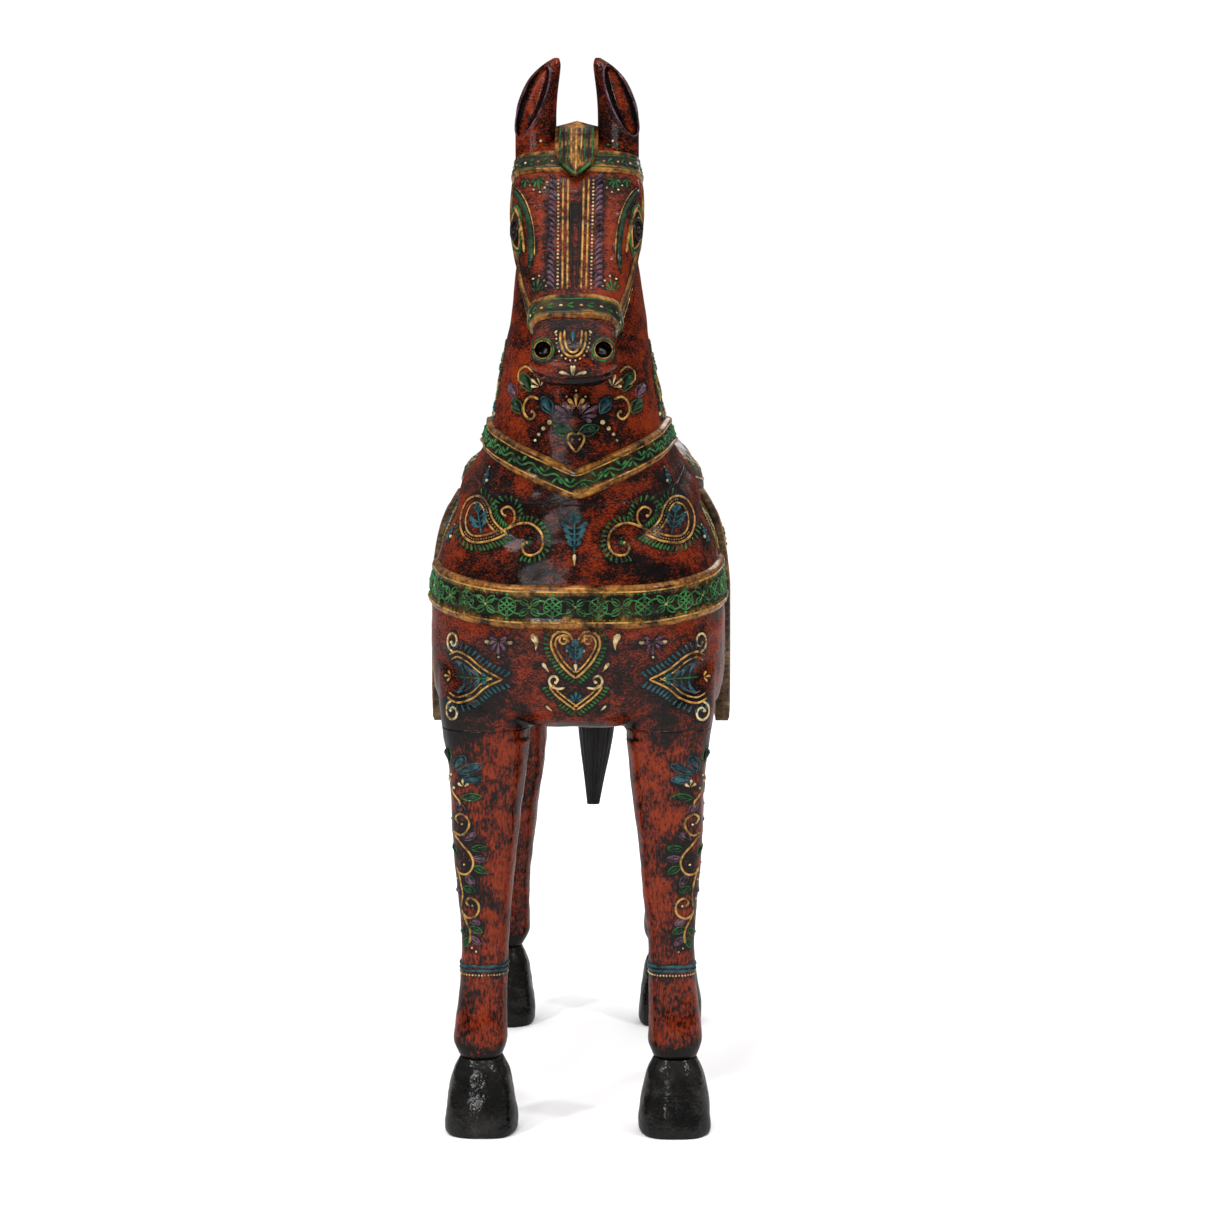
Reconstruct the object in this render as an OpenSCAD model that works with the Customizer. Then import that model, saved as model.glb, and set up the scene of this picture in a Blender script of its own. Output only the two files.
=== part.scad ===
// Carved and painted wooden horse, standing, built up from glued and dowelled blocks.
// Frame: origin on the floor under the middle of the horse, +Z up, the horse looks along -Y,
// and +X is the horse's own left side. All sizes are in millimetres.

/* [Overall] */
// Height of the ear tips above the floor
ear_tip_height = 914; // [905:1:925]
// Distance between the front and rear hoof centres
wheelbase = 410; // [406:1:414]
// Distance between a left and a right hoof centre
track = 167; // [165:1:169]

/* [Trunk] */
// Half of the trunk's greatest width
trunk_half_width = 126; // [124:1:128]
// Height of the flat underside above the floor
belly_height = 353; // [351:1:355]
// Thickness of the centre board, between the two side boards
centre_board = 88; // [80:1:92]

/* [Harness] */
// How far the harness bands stand proud of the wood
band_proud = 4; // [3.5:0.5:5]
// Height of the breast band
breast_band_height = 37; // [34:1:40]
// Height of the collar round the base of the neck
collar_height = 26; // [22:1:28]
// Width of the browband
browband_width = 20; // [18:1:22]
// Width of the noseband
noseband_width = 25; // [23:1:27]
// Thickness of a saddle flap where it hangs free
flap_thickness = 13; // [11:1:15]

/* [Joinery] */
// Diameter of the dowels that hold the trunk boards together
trunk_dowel_d = 16; // [12:1:18]
// Diameter of the dowel between a leg and the trunk
leg_dowel_d = 26; // [20:1:28]
// Diameter of the dowel between a hoof and its leg
hoof_dowel_d = 14; // [10:1:16]
// Diameter of the dowels in the neck joint
neck_dowel_d = 20; // [16:1:22]
// Diameter of the dowels between the head and the neck
head_dowel_d = 14; // [10:1:16]
// Diameter of the peg in each ear
ear_peg_d = 10; // [8:1:11]
// Diameter of the peg that holds the tail
tail_peg_d = 16; // [12:1:18]
// Radial room for glue round every dowel
glue_gap = 0.1; // [0.05:0.01:0.15]

/* [Hidden] */

red_paint = "firebrick";
gold_paint = "darkgoldenrod";
black_paint = "#222222";
bare_wood = "burlywood";

front_y = 33 - wheelbase / 2;         // the front hooves' centre line
rear_y = front_y + wheelbase;
front_hoof = 66;                      // heights of the hooves
rear_hoof = 78;
skin_gap = 0.1;                       // glue line under an applied band
far = 700;                            // larger than any part, for cutting blocks

// ---------------------------------------------------------------- lofting
// A station is one cross-section: a ring through point a and point b, both given as [y, z],
// centred on x, with half width hw. share says how far from a to b the widest place lies, and
// na and nb are the superellipse powers of the a side and the b side (2 round, 4 boxy).
function station(a, b, hw, share = 0.5, na = 2.4, nb = 2.4, x = 0) =
    [a[0], a[1], b[0], b[1], hw, share, na, nb, x];

function power(v, e) = sign(v) * pow(abs(v), e);

function ring(s, sides) =
    let (
        a = [s[0], s[1]],
        b = [s[2], s[3]],
        c = a + (b - a) * s[5],
        along = (b - a) / norm(b - a)
    )
    [for (i = [0 : sides - 1])
        let (
            t = 360 * i / sides,
            n = sin(t) < 0 ? s[6] : s[7],
            reach = sin(t) < 0 ? norm(c - a) : norm(b - c),
            p = c + along * reach * power(sin(t), 2 / n)
        )
        [s[8] + s[4] * power(cos(t), 2 / n), p[0], p[1]]];

// Catmull-Rom between neighbouring stations, with a given number of steps in each span
function between(p, q, r, s, u) =
    0.5 * (2 * q + (r - p) * u + (2 * p - 5 * q + 4 * r - s) * u * u
        + (3 * q - p - 3 * r + s) * u * u * u);

function rings(stations, sides = 24, steps = 2) =
    let (last = len(stations) - 1)
    concat(
        [for (i = [0 : last - 1], k = [0 : steps - 1])
            ring(between(stations[max(i - 1, 0)], stations[i], stations[i + 1],
                stations[min(i + 2, last)], k / steps), sides)],
        [ring(stations[last], sides)]
    );

// The same rings, moved outwards along the surface by t
function swollen(rs, t) =
    let (last = len(rs) - 1, m = len(rs[0]))
    [for (i = [0 : last])
        [for (j = [0 : m - 1])
            let (
                run = rs[min(i + 1, last)][j] - rs[max(i - 1, 0)][j],
                turn = rs[i][(j + 1) % m] - rs[i][(j + m - 1) % m],
                n = cross(turn, run)
            )
            rs[i][j] + n / max(norm(n), 0.001) * t * outwards(rs)]];

// +1 if the rings advance along their own normal, else -1
function outwards(rs) =
    let (m = len(rs[0]), q = floor(m / 4))
    sign(cross(rs[0][0] - rs[0][2 * q], rs[0][q] - rs[0][3 * q])
        * (rs[len(rs) - 1][0] + rs[len(rs) - 1][2 * q] - rs[0][0] - rs[0][2 * q]));

module skin(rs) {
    m = len(rs[0]);
    last = len(rs) - 1;
    forward = outwards(rs) > 0;
    walls = [for (i = [0 : last - 1], j = [0 : m - 1])
        let (k = (j + 1) % m)
        [i * m + j, (i + 1) * m + j, (i + 1) * m + k, i * m + k]];
    caps = [[for (j = [0 : m - 1]) j], [for (j = [m - 1 : -1 : 0]) last * m + j]];
    faces = concat(walls, caps);
    polyhedron(
        points = [for (r = rs, p = r) p],
        faces = forward ? faces : [for (f = faces) [for (i = [len(f) - 1 : -1 : 0]) f[i]]]
    );
}

// Shapes inside this module come out as one mesh, which later holes cut with true round walls
module carved() { resize([0, 0, 0]) children(); }

module pin(d, from, to) {
    v = to - from;
    translate(from)
        rotate([0, acos(v[2] / norm(v)), atan2(v[1], v[0])])
            cylinder(h = norm(v), d = d, $fn = 48);
}

// ---------------------------------------------------------------- the carved form
// Trunk, from the chest to the rump: a is the underside, b is the back
trunk_form = let (w = trunk_half_width, z = belly_height) [
    station([-250, z + 88], [-250, z + 114], 12),
    station([-247, z + 61], [-247, z + 138], 40, 0.5, 2.2, 2.2),
    station([-240, z + 35], [-240, z + 162], 64, 0.5, 2.3, 2.2),
    station([-226, z + 12], [-226, z + 188], w - 38, 0.46, 2.8, 2.3),
    station([-206, z + 2], [-206, z + 210], w - 18, 0.38, 3.6, 2.4),
    station([-180, z], [-180, z + 222], w - 5, 0.31, 4.4, 2.5),
    station([-140, z], [-140, z + 228], w, 0.31, 4.6, 2.6),
    station([-60, z], [-60, z + 229], w, 0.31, 4.0, 3.0),
    station([40, z + 1], [40, z + 222], w, 0.32, 3.4, 3.3),
    station([130, z], [130, z + 220], w, 0.32, 3.8, 3.0),
    station([200, z], [200, z + 221], w - 1, 0.33, 4.4, 2.6),
    station([246, z + 4], [246, z + 212], w - 12, 0.38, 3.8, 2.4),
    station([274, z + 22], [274, z + 194], w - 36, 0.44, 2.8, 2.3),
    station([292, z + 52], [292, z + 166], w - 68, 0.48, 2.3, 2.2),
    station([299, z + 82], [299, z + 134], w - 100)
];

// Neck, from inside the chest to the poll: a is the throat side, b is the crest
neck_form = [
    station([-242, 500], [20, 540], 108),
    station([-240, 524], [14, 582], 103),
    station([-237, 546], [4, 600], 90),
    station([-232, 570], [-8, 626], 78, 0.48),
    station([-226, 606], [-28, 664], 70, 0.46),
    station([-217, 652], [-54, 708], 61, 0.44),
    station([-210, 700], [-78, 752], 54, 0.44),
    station([-205, 745], [-102, 798], 47, 0.45),
    station([-200, 785], [-128, 832], 40, 0.48)
];

// Head, from the back of the skull to the lips: a is the face, b is the jaw
head_form = [
    station([-142, 838], [-112, 800], 40, 0.45, 2.8, 2.4),
    station([-160, 848], [-112, 778], 49, 0.42, 3.2, 2.3),
    station([-182, 846], [-112, 756], 52, 0.40, 3.4, 2.3),
    station([-206, 826], [-126, 728], 54, 0.38, 3.4, 2.3),
    station([-226, 796], [-148, 702], 52.5, 0.36, 3.6, 2.3),
    station([-246, 767], [-172, 684], 47, 0.36, 3.6, 2.4),
    station([-266, 740], [-202, 672], 41, 0.38, 3.4, 2.5),
    station([-285, 717], [-232, 661], 35, 0.40, 3.4, 2.6),
    station([-301, 701], [-256, 652], 33.5, 0.44, 3.2, 2.8),
    station([-316, 687], [-278, 644], 34.5, 0.46, 3.0, 2.9),
    station([-326, 674], [-298, 639], 33.5, 0.48, 2.8, 2.8),
    station([-330, 663], [-313, 641], 28),
    station([-330.5, 656], [-322, 646], 15)
];

// A front leg's outline, from the shoulder down to the fetlock: a is its front, b is its back
function front_leg_form(x) = let (y = front_y, z = belly_height) [
    station([y - 22, z + 100], [y + 54, z + 90], 30, 0.5, 2.4, 2.4, x * 0.96),
    station([y - 40, z + 62], [y + 58, z + 56], 40, 0.5, 2.6, 2.6, x * 0.95),
    station([y - 47, z + 26], [y + 52, z + 26], 39.5, 0.5, 2.8, 2.8, x * 0.94),
    station([y - 46, z], [y + 45, z], 37.5, 0.5, 3.0, 2.9, x * 0.925),
    station([y - 39, 314], [y + 37, 314], 32.5, 0.5, 3.0, 2.8, x * 0.92),
    station([y - 29, 244], [y + 27, 244], 27, 0.5, 2.8, 2.6, x * 0.948),
    station([y - 22, 176], [y + 22, 176], 20.4, 0.5, 2.6, 2.5, x * 0.952),
    station([y - 21, 150], [y + 21, 150], 19.8, 0.5, 2.6, 2.5, x * 0.962),
    station([y - 22, 114], [y + 22, 114], 21, 0.5, 2.6, 2.5, x * 0.985),
    station([y - 25, 88], [y + 24, 88], 22.8, 0.5, 2.5, 2.4, x),
    station([y - 25, 78], [y + 24, 78], 22.8, 0.5, 2.4, 2.4, x),
    station([y - 20, front_hoof], [y + 20, front_hoof], 18, 0.5, 2.3, 2.3, x)
];

// A rear leg's outline, with the thigh, the hock and the cannon
function rear_leg_form(x) = let (y = rear_y, z = belly_height) [
    station([y - 46, z + 110], [y + 34, z + 110], 28, 0.5, 2.4, 2.4, x * 0.94),
    station([y - 68, z + 64], [y + 50, z + 64], 40, 0.5, 2.6, 2.6, x * 0.93),
    station([y - 70, z + 26], [y + 50, z + 26], 40, 0.5, 2.8, 2.6, x * 0.92),
    station([y - 66, z], [y + 46, z], 39, 0.5, 2.9, 2.6, x * 0.90),
    station([y - 58, 316], [y + 38, 316], 35, 0.5, 2.8, 2.6, x * 0.88),
    station([y - 38, 262], [y + 34, 262], 31, 0.5, 2.7, 2.5, x * 0.88),
    station([y - 22, 206], [y + 38, 206], 26, 0.5, 2.6, 2.4, x * 0.92),
    station([y - 20, 168], [y + 28, 168], 22, 0.5, 2.6, 2.4, x * 0.93),
    station([y - 21, 130], [y + 22, 130], 20.4, 0.5, 2.5, 2.4, x * 0.93),
    station([y - 23, 100], [y + 24, 100], 22, 0.5, 2.5, 2.4, x * 0.95),
    station([y - 23, 90], [y + 24, 90], 22, 0.5, 2.4, 2.4, x * 0.97),
    station([y - 18, rear_hoof], [y + 18, rear_hoof], 17, 0.5, 2.3, 2.3, x * 0.99)
];

trunk_rings = rings(trunk_form, 40, 2);
neck_rings = rings(neck_form, 32, 2);
head_rings = rings(head_form, 32, 2);

function leg_rings(side, is_front) =
    let (x = side * track / 2)
    rings(is_front ? front_leg_form(x) : rear_leg_form(x), 24, 2);

// The horse's trunk, neck and head in one, before it is parted along the glue lines
module form(t = 0) {
    skin(t == 0 ? trunk_rings : swollen(trunk_rings, t));
    skin(t == 0 ? neck_rings : swollen(neck_rings, t));
    skin(t == 0 ? head_rings : swollen(head_rings, t));
    for (side = [1, -1], is_front = [true, false])
        skin(t == 0 ? leg_rings(side, is_front) : swollen(leg_rings(side, is_front), t));
}

// A cutting block whose lower face is a sloping plane through [y, z], rising to the back
module above_plane(at, slope) {
    translate([0, at[0], at[1]]) rotate([slope, 0, 0]) translate([-far / 2, -far / 2, 0]) cube(far);
}

// ---------------------------------------------------------------- joints between blocks
neck_joint = [-247, 541];        // on the glue plane, at the front of the chest
neck_slope = 14;
head_joint = [-184, 715];        // on the glue plane, at the throat
head_slope = 62;
neck_dowel_places = [-170, -80];
head_dowel_places = [38, 88];    // distances up the glue plane from head_joint

function on_neck_plane(y) = [0, y, neck_joint[1] + (y - neck_joint[0]) * tan(neck_slope)];
function on_head_plane(d) =
    [0, head_joint[0] + d * cos(head_slope), head_joint[1] + d * sin(head_slope)];
neck_normal = [0, -sin(neck_slope), cos(neck_slope)];
head_normal = [0, -sin(head_slope), cos(head_slope)];

trunk_dowel_places = [[-118, 404], [-20, 452], [90, 452], [180, 404]];
trunk_dowel_reach = 86;

module trunk_dowel_set(gap = 0) {
    reach = trunk_dowel_reach + gap;
    for (p = trunk_dowel_places)
        pin(trunk_dowel_d + 2 * gap, [-reach, p[0], p[1]], [reach, p[0], p[1]]);
}

module neck_dowel_set(gap = 0) {
    half = neck_normal * (52 + gap);
    for (y = neck_dowel_places)
        pin(neck_dowel_d + 2 * gap, on_neck_plane(y) - half, on_neck_plane(y) + half);
}

module head_dowel_set(gap = 0) {
    half = head_normal * (30 + gap);
    for (d = head_dowel_places)
        pin(head_dowel_d + 2 * gap, on_head_plane(d) - half, on_head_plane(d) + half);
}

leg_places = [for (y = [front_y, rear_y], side = [1, -1]) [side, y]];

module leg_dowel_set(gap = 0) {
    for (p = leg_places)
        translate([p[0] * 76, p[1] - 4, belly_height])
            pin(leg_dowel_d + 2 * gap, [0, 0, -56 - gap], [0, 0, 46 + gap]);
}

module hoof_dowel_set(gap = 0) {
    for (p = leg_places)
        translate([p[0] * track / 2, p[1], 0])
            pin(hoof_dowel_d + 2 * gap, [0, 0, 26 - gap], [0, 0, 98 + gap]);
}

tail_root = [0, 286, 508];
module tail_peg_set(gap = 0) {
    pin(tail_peg_d + 2 * gap, tail_root + [0, -46 - gap, 0], tail_root + [0, 26 + gap, 0]);
}

ear_foot = 820;                  // where an ear starts, inside the top of the head
ear_peg_foot = 812;
ear_peg_top = 864;
module ear_peg_set(gap = 0) {
    for (side = [1, -1])
        pin(ear_peg_d + 2 * gap, [side * 34, -172, ear_peg_foot - gap], [side * 34, -172, ear_peg_top + gap]);
}

// ---------------------------------------------------------------- trunk
// The shoulders and thighs are carved with the trunk, and end at the flat leg joints
module trunk_whole() {
    difference() {
        union() {
            skin(trunk_rings);
            skin(neck_rings);
            for (side = [1, -1], is_front = [true, false]) skin(leg_rings(side, is_front));
        }
        above_plane(neck_joint, neck_slope);
        translate([-far / 2, -far / 2, belly_height - far]) cube(far);
    }
}

module trunk_board(low, high) {
    color(red_paint) difference() {
        carved() intersection() {
            trunk_whole();
            translate([low, -far / 2, 0]) cube([high - low, far, far]);
        }
        trunk_dowel_set(glue_gap);
        if (low < -centre_board / 2 || high > centre_board / 2) leg_dowel_set(glue_gap);
        else {
            neck_dowel_set(glue_gap);
            tail_peg_set(glue_gap);
        }
    }
}

module trunk_centre_board() { trunk_board(-centre_board / 2, centre_board / 2); }
module trunk_left_board() { trunk_board(centre_board / 2, far / 2); }
module trunk_right_board() { trunk_board(-far / 2, -centre_board / 2); }
module trunk_dowels() { color(bare_wood) trunk_dowel_set(); }

// ---------------------------------------------------------------- neck and head
module neck_block() {
    color(red_paint) difference() {
        carved() intersection() {
            difference() {
                union() {
                    skin(neck_rings);
                    skin(head_rings);
                }
                above_plane(head_joint, head_slope);
            }
            above_plane(neck_joint, neck_slope);
        }
        neck_dowel_set(glue_gap);
        head_dowel_set(glue_gap);
    }
}

nostril = [24, -322, 670];
eye = [50, -214, 771];

module head_block() {
    color(red_paint) difference() {
        carved() difference() {
            intersection() {
                union() {
                    skin(neck_rings);
                    skin(head_rings);
                    for (side = [1, -1]) translate([side * (eye[0] - 3), eye[1], eye[2]])
                        rotate([-35, 0, side * -12]) scale([8, 15, 26]) sphere(r = 1, $fn = 20);
                }
                above_plane(head_joint, head_slope);
            }
            for (side = [1, -1]) translate([side * nostril[0], nostril[1] - 8, nostril[2]])
                rotate([-78, 0, side * -14]) cylinder(h = 20, r1 = 8.5, r2 = 5, $fn = 20);
            translate([0, -345, 645.5]) rotate([8, 0, 0]) cube([80, 50, 2.4], center = true);
        }
        head_dowel_set(glue_gap);
        ear_peg_set(glue_gap);
    }
}

module neck_dowels() { color(bare_wood) neck_dowel_set(); }
module head_dowels() { color(bare_wood) head_dowel_set(); }

// Ears: upright, leaning inwards to a point, hollowed on the front
function ear_form(side) = let (h = ear_tip_height - ear_foot) [
    station([-190, ear_foot], [-156, ear_foot], 16.8, 0.5, 2.2, 2.2, side * 34.8),
    station([-190, ear_foot + h * 0.24], [-156, ear_foot + h * 0.24], 17.2, 0.5, 2.2, 2.2, side * 34.6),
    station([-189, ear_foot + h * 0.52], [-159, ear_foot + h * 0.52], 17, 0.5, 2.1, 2.1, side * 34.2),
    station([-187, ear_foot + h * 0.69], [-162, ear_foot + h * 0.69], 15.2, 0.5, 2, 2, side * 31.4),
    station([-184, ear_foot + h * 0.83], [-165, ear_foot + h * 0.83], 12.4, 0.5, 2, 2, side * 27),
    station([-181, ear_foot + h * 0.94], [-169, ear_foot + h * 0.94], 7.4, 0.5, 2, 2, side * 21),
    station([-178, ear_tip_height], [-173, ear_tip_height], 2.2, 0.5, 2, 2, side * 17.2)
];

function ear_hollow(side) = let (h = ear_tip_height - ear_foot) [
    station([-202, ear_foot + h * 0.38], [-186, ear_foot + h * 0.38], 3, 0.5, 2, 2, side * 39),
    station([-204, ear_foot + h * 0.48], [-176, ear_foot + h * 0.48], 8.4, 0.5, 2, 2, side * 38.5),
    station([-202, ear_foot + h * 0.62], [-174, ear_foot + h * 0.62], 8.4, 0.5, 2, 2, side * 35.8),
    station([-200, ear_foot + h * 0.78], [-175, ear_foot + h * 0.78], 6.4, 0.5, 2, 2, side * 30),
    station([-198, ear_foot + h * 0.91], [-177, ear_foot + h * 0.91], 2.6, 0.5, 2, 2, side * 22.8)
];

module ear(side) {
    color(red_paint) difference() {
        carved() difference() {
            skin(rings(ear_form(side), 20, 2));
            skin(rings(ear_hollow(side), 14, 2));
            skin(head_rings);
        }
        ear_peg_set(glue_gap);
    }
}
module ear_left() { ear(1); }
module ear_right() { ear(-1); }
module ear_pegs() { color(bare_wood) ear_peg_set(); }

// ---------------------------------------------------------------- mane and forelock
// A strip of carved hair that follows the crest, from the poll to the withers
mane_form = [
    station([-186, 846], [-178, 856], 13, 0.4),
    station([-160, 838], [-158, 857], 13.5, 0.4),
    station([-134, 822], [-120, 846], 14, 0.4),
    station([-112, 784], [-90, 804], 14.5, 0.4),
    station([-92, 744], [-69, 757], 15, 0.4),
    station([-68, 700], [-45, 713], 15, 0.4),
    station([-42, 654], [-19, 668], 15, 0.4),
    station([-22, 612], [2, 630], 14.5, 0.4),
    station([-16, 586], [14, 600], 12, 0.4)
];

mane_rings = rings(mane_form, 16, 2);

module mane_crest() {
    color(black_paint) carved() difference() {
        skin(mane_rings);
        skin(swollen(neck_rings, skin_gap));
        skin(swollen(head_rings, skin_gap));
        skin(swollen(trunk_rings, skin_gap));
        forelock_prism();
        saddle_form();
    }
}

// The forelock is a keeled shield that hangs over the forehead between the ears
module forelock_prism() {
    translate([0, -150, 0]) rotate([90, 0, 0]) linear_extrude(120)
        polygon([[-18, 880], [-18, 838], [-14, 822], [0, 811], [14, 822], [18, 838], [18, 880]]);
}

module forelock() {
    color(gold_paint) carved() intersection() {
        difference() {
            union() {
                skin(swollen(head_rings, band_proud + 1.5));
                intersection() {
                    skin(swollen(head_rings, band_proud + 5));
                    translate([0, -200, 830]) rotate([-35, 0, 0]) scale([14, 60, 100]) rotate([0, 0, 45])
                        cube([0.9, 0.9, 1], center = true);
                }
            }
            skin(swollen(head_rings, skin_gap));
            intersection() {
                skin(swollen(head_rings, band_proud - 1 + skin_gap));
                head_slab(brow_place, browband_width + 2 * skin_gap, brow_slope);
            }
        }
        forelock_prism();
        translate([-far / 2, -far - 168, 0]) cube([far, far, 2 * far]);
    }
}

// ---------------------------------------------------------------- harness
// A slab of given width, square to the head's length, through a point on the face
module head_slab(at, width, slope) {
    translate([0, at[0], at[1]]) rotate([slope, 0, 0])
        translate([-90, -90, -width / 2]) cube([180, 210, width]);
}

brow_place = [-206, 826];
brow_slope = -8;
nose_place = [-295, 704];
nose_slope = -25;

module head_band(at, width, slope) {
    carved() difference() {
        intersection() {
            skin(swollen(head_rings, band_proud - 1));
            head_slab(at, width, slope);
            above_plane(head_joint, head_slope);
        }
        skin(swollen(head_rings, skin_gap));
        skin(swollen(neck_rings, skin_gap));
        children();
    }
}

module browband() {
    color(gold_paint) head_band(brow_place, browband_width, brow_slope)
        for (side = [1, -1]) skin(swollen(rings(ear_form(side), 20, 2), skin_gap));
}

module noseband() {
    color(gold_paint) head_band(nose_place, noseband_width, nose_slope);
}

// A cheek strap runs up the side of the head from the noseband to the browband
module cheek_strap(side) {
    color(gold_paint) carved() difference() {
        intersection() {
            skin(swollen(head_rings, band_proud - 1.5));
            translate([side > 0 ? 20 : -100, 0, 0]) rotate([90, 0, 90]) linear_extrude(80)
                polygon([[-268, 706], [-258, 697], [-160, 800], [-172, 812]]);
            above_plane(head_joint, head_slope);
        }
        skin(swollen(head_rings, skin_gap));
        skin(swollen(neck_rings, skin_gap));
        head_slab(brow_place, browband_width + 2 * skin_gap, brow_slope);
        head_slab(nose_place, noseband_width + 2 * skin_gap, nose_slope);
    }
}
module cheek_strap_left() { cheek_strap(1); }
module cheek_strap_right() { cheek_strap(-1); }

// The collar comes down to a point at the front of the chest
collar_place = [0, -245, 558];
module collar_slab(w) {
    reach = 130;
    rise = 0.42;
    translate(collar_place) rotate([94, 0, 0]) translate([0, 0, -280]) linear_extrude(320)
        polygon([[0, -w / 2], [reach, reach * rise - w / 2], [reach, reach * rise + w / 2],
            [0, w / 2], [-reach, reach * rise + w / 2], [-reach, reach * rise - w / 2]]);
}

module neck_collar() {
    color(gold_paint) carved() difference() {
        intersection() {
            form(band_proud + 1);
            collar_slab(collar_height);
        }
        form(skin_gap);
        saddle_form();
        skin(swollen(mane_rings, skin_gap));
    }
}

saddle_front = -44;
saddle_back = 138;

module breast_band() {
    color(gold_paint) carved() difference() {
        intersection() {
            form(band_proud);
            translate([0, -252, 460]) rotate([4, 0, 0])
                translate([-200, -60, -breast_band_height / 2])
                    cube([400, saddle_front + 312, breast_band_height]);
            translate([-200, -300, 0]) cube([400, 300 + saddle_front - skin_gap, far]);
        }
        form(skin_gap);
    }
}

// ---------------------------------------------------------------- saddle
saddle_rings = rings([
    station([saddle_front - 6, 540], [saddle_front - 6, 604], 62, 0.3, 3, 2.4),
    station([saddle_front + 6, 528], [saddle_front + 6, 614], 92, 0.3, 3, 2.2),
    station([saddle_front + 34, 520], [saddle_front + 34, 602], 108, 0.3, 3, 2.4),
    station([46, 520], [46, 592], 112, 0.3, 3, 2.8),
    station([100, 520], [100, 600], 110, 0.3, 3, 2.4),
    station([saddle_back - 4, 526], [saddle_back - 4, 620], 98, 0.3, 3, 2.2),
    station([saddle_back + 8, 540], [saddle_back + 8, 610], 66, 0.3, 3, 2.4)
], 32, 3);

module saddle_form() { skin(saddle_rings); }

flap_top = 548;
module saddle_seat() {
    color(red_paint) carved() difference() {
        saddle_form();
        form(skin_gap);
        translate([-far / 2, -far / 2, flap_top - far]) cube(far);
    }
}

flap_foot = 340;
module saddle_flap(side) {
    reach = trunk_half_width + 7.5;
    color(red_paint) carved() difference() {
        intersection() {
            union() {
                skin(swollen(trunk_rings, 7));
                translate([side > 0 ? 60 : -reach, saddle_front, flap_foot])
                    cube([reach - 60, saddle_back - saddle_front, 100]);
            }
            translate([side > 0 ? 40 : -240, saddle_front, flap_foot])
                cube([200, saddle_back - saddle_front, flap_top - flap_foot - skin_gap]);
        }
        form(skin_gap);
        translate([side > 0 ? 0 : -(reach - flap_thickness), -far / 2, -10])
            cube([reach - flap_thickness, far, 420]);
    }
}
module saddle_flap_left() { saddle_flap(1); }
module saddle_flap_right() { saddle_flap(-1); }

// ---------------------------------------------------------------- legs and hooves
module leg(side, is_front) {
    color(red_paint) difference() {
        carved() difference() {
            skin(leg_rings(side, is_front));
            translate([-far / 2, -far / 2, belly_height]) cube(far);
        }
        leg_dowel_set(glue_gap);
        hoof_dowel_set(glue_gap);
    }
}
module leg_front_left() { leg(1, true); }
module leg_front_right() { leg(-1, true); }
module leg_rear_left() { leg(1, false); }
module leg_rear_right() { leg(-1, false); }
module leg_dowels() { color(bare_wood) leg_dowel_set(); }

// A hoof is a low bell with a flat sole
module hoof(side, y, height) {
    x = side * track / 2;
    color(black_paint) difference() {
        skin(rings([
            station([y - 32, 0], [y + 30, 0], 29, 0.5, 2.6, 2.6, x),
            station([y - 34, 5], [y + 31, 5], 31, 0.5, 2.6, 2.6, x),
            station([y - 32, height * 0.28], [y + 30, height * 0.28], 30.6, 0.5, 2.6, 2.6, x),
            station([y - 29, height * 0.55], [y + 28, height * 0.55], 28, 0.5, 2.5, 2.5, x),
            station([y - 25, height * 0.80], [y + 25, height * 0.80], 24.4, 0.5, 2.4, 2.4, x),
            station([y - 18, height], [y + 18, height], 18, 0.5, 2.3, 2.3, x)
        ], 24, 2));
        hoof_dowel_set(glue_gap);
    }
}
module hoof_front_left() { hoof(1, front_y, front_hoof); }
module hoof_front_right() { hoof(-1, front_y, front_hoof); }
module hoof_rear_left() { hoof(1, rear_y, rear_hoof); }
module hoof_rear_right() { hoof(-1, rear_y, rear_hoof); }
module hoof_dowels() { color(bare_wood) hoof_dowel_set(); }

// ---------------------------------------------------------------- tail
// The tail arches out of the rump, hangs down and leans a little to the horse's left
tail_form = [
    station([286, 524], [284, 492], 15, 0.5, 2, 2, 0),
    station([304, 530], [296, 490], 17, 0.5, 2, 2, 0),
    station([320, 524], [298, 486], 19, 0.5, 2, 2, 1),
    station([328, 500], [294, 478], 20, 0.5, 2, 2, 2),
    station([331, 460], [291, 456], 22, 0.5, 2, 2, 4),
    station([331, 400], [289, 400], 23, 0.5, 2.1, 2.1, 7),
    station([328, 340], [288, 340], 22, 0.5, 2.1, 2.1, 8),
    station([323, 284], [289, 284], 18, 0.5, 2.1, 2.1, 8),
    station([316, 234], [296, 234], 10, 0.5, 2.1, 2.1, 6),
    station([312, 210], [300, 210], 6.4, 0.5, 2.2, 2.2, 5)
];

module tail() {
    color(black_paint) difference() {
        carved() difference() {
            skin(rings(tail_form, 20, 2));
            skin(swollen(trunk_rings, skin_gap));
        }
        tail_peg_set(glue_gap);
    }
}
module tail_peg() { color(bare_wood) tail_peg_set(); }

trunk_centre_board();
trunk_left_board();
trunk_right_board();
trunk_dowels();
neck_block();
neck_dowels();
head_block();
head_dowels();
ear_left();
ear_right();
ear_pegs();
mane_crest();
forelock();
browband();
noseband();
cheek_strap_left();
cheek_strap_right();
neck_collar();
breast_band();
saddle_seat();
saddle_flap_left();
saddle_flap_right();
leg_front_left();
leg_front_right();
leg_rear_left();
leg_rear_right();
leg_dowels();
hoof_front_left();
hoof_front_right();
hoof_rear_left();
hoof_rear_right();
hoof_dowels();
tail();
tail_peg();
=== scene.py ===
"""Looks for a carved and painted wooden horse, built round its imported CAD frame.

Lengths are millimetres in the part's frame until a mesh is made: +Z up, the horse looks along -Y.
"""

import math

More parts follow.
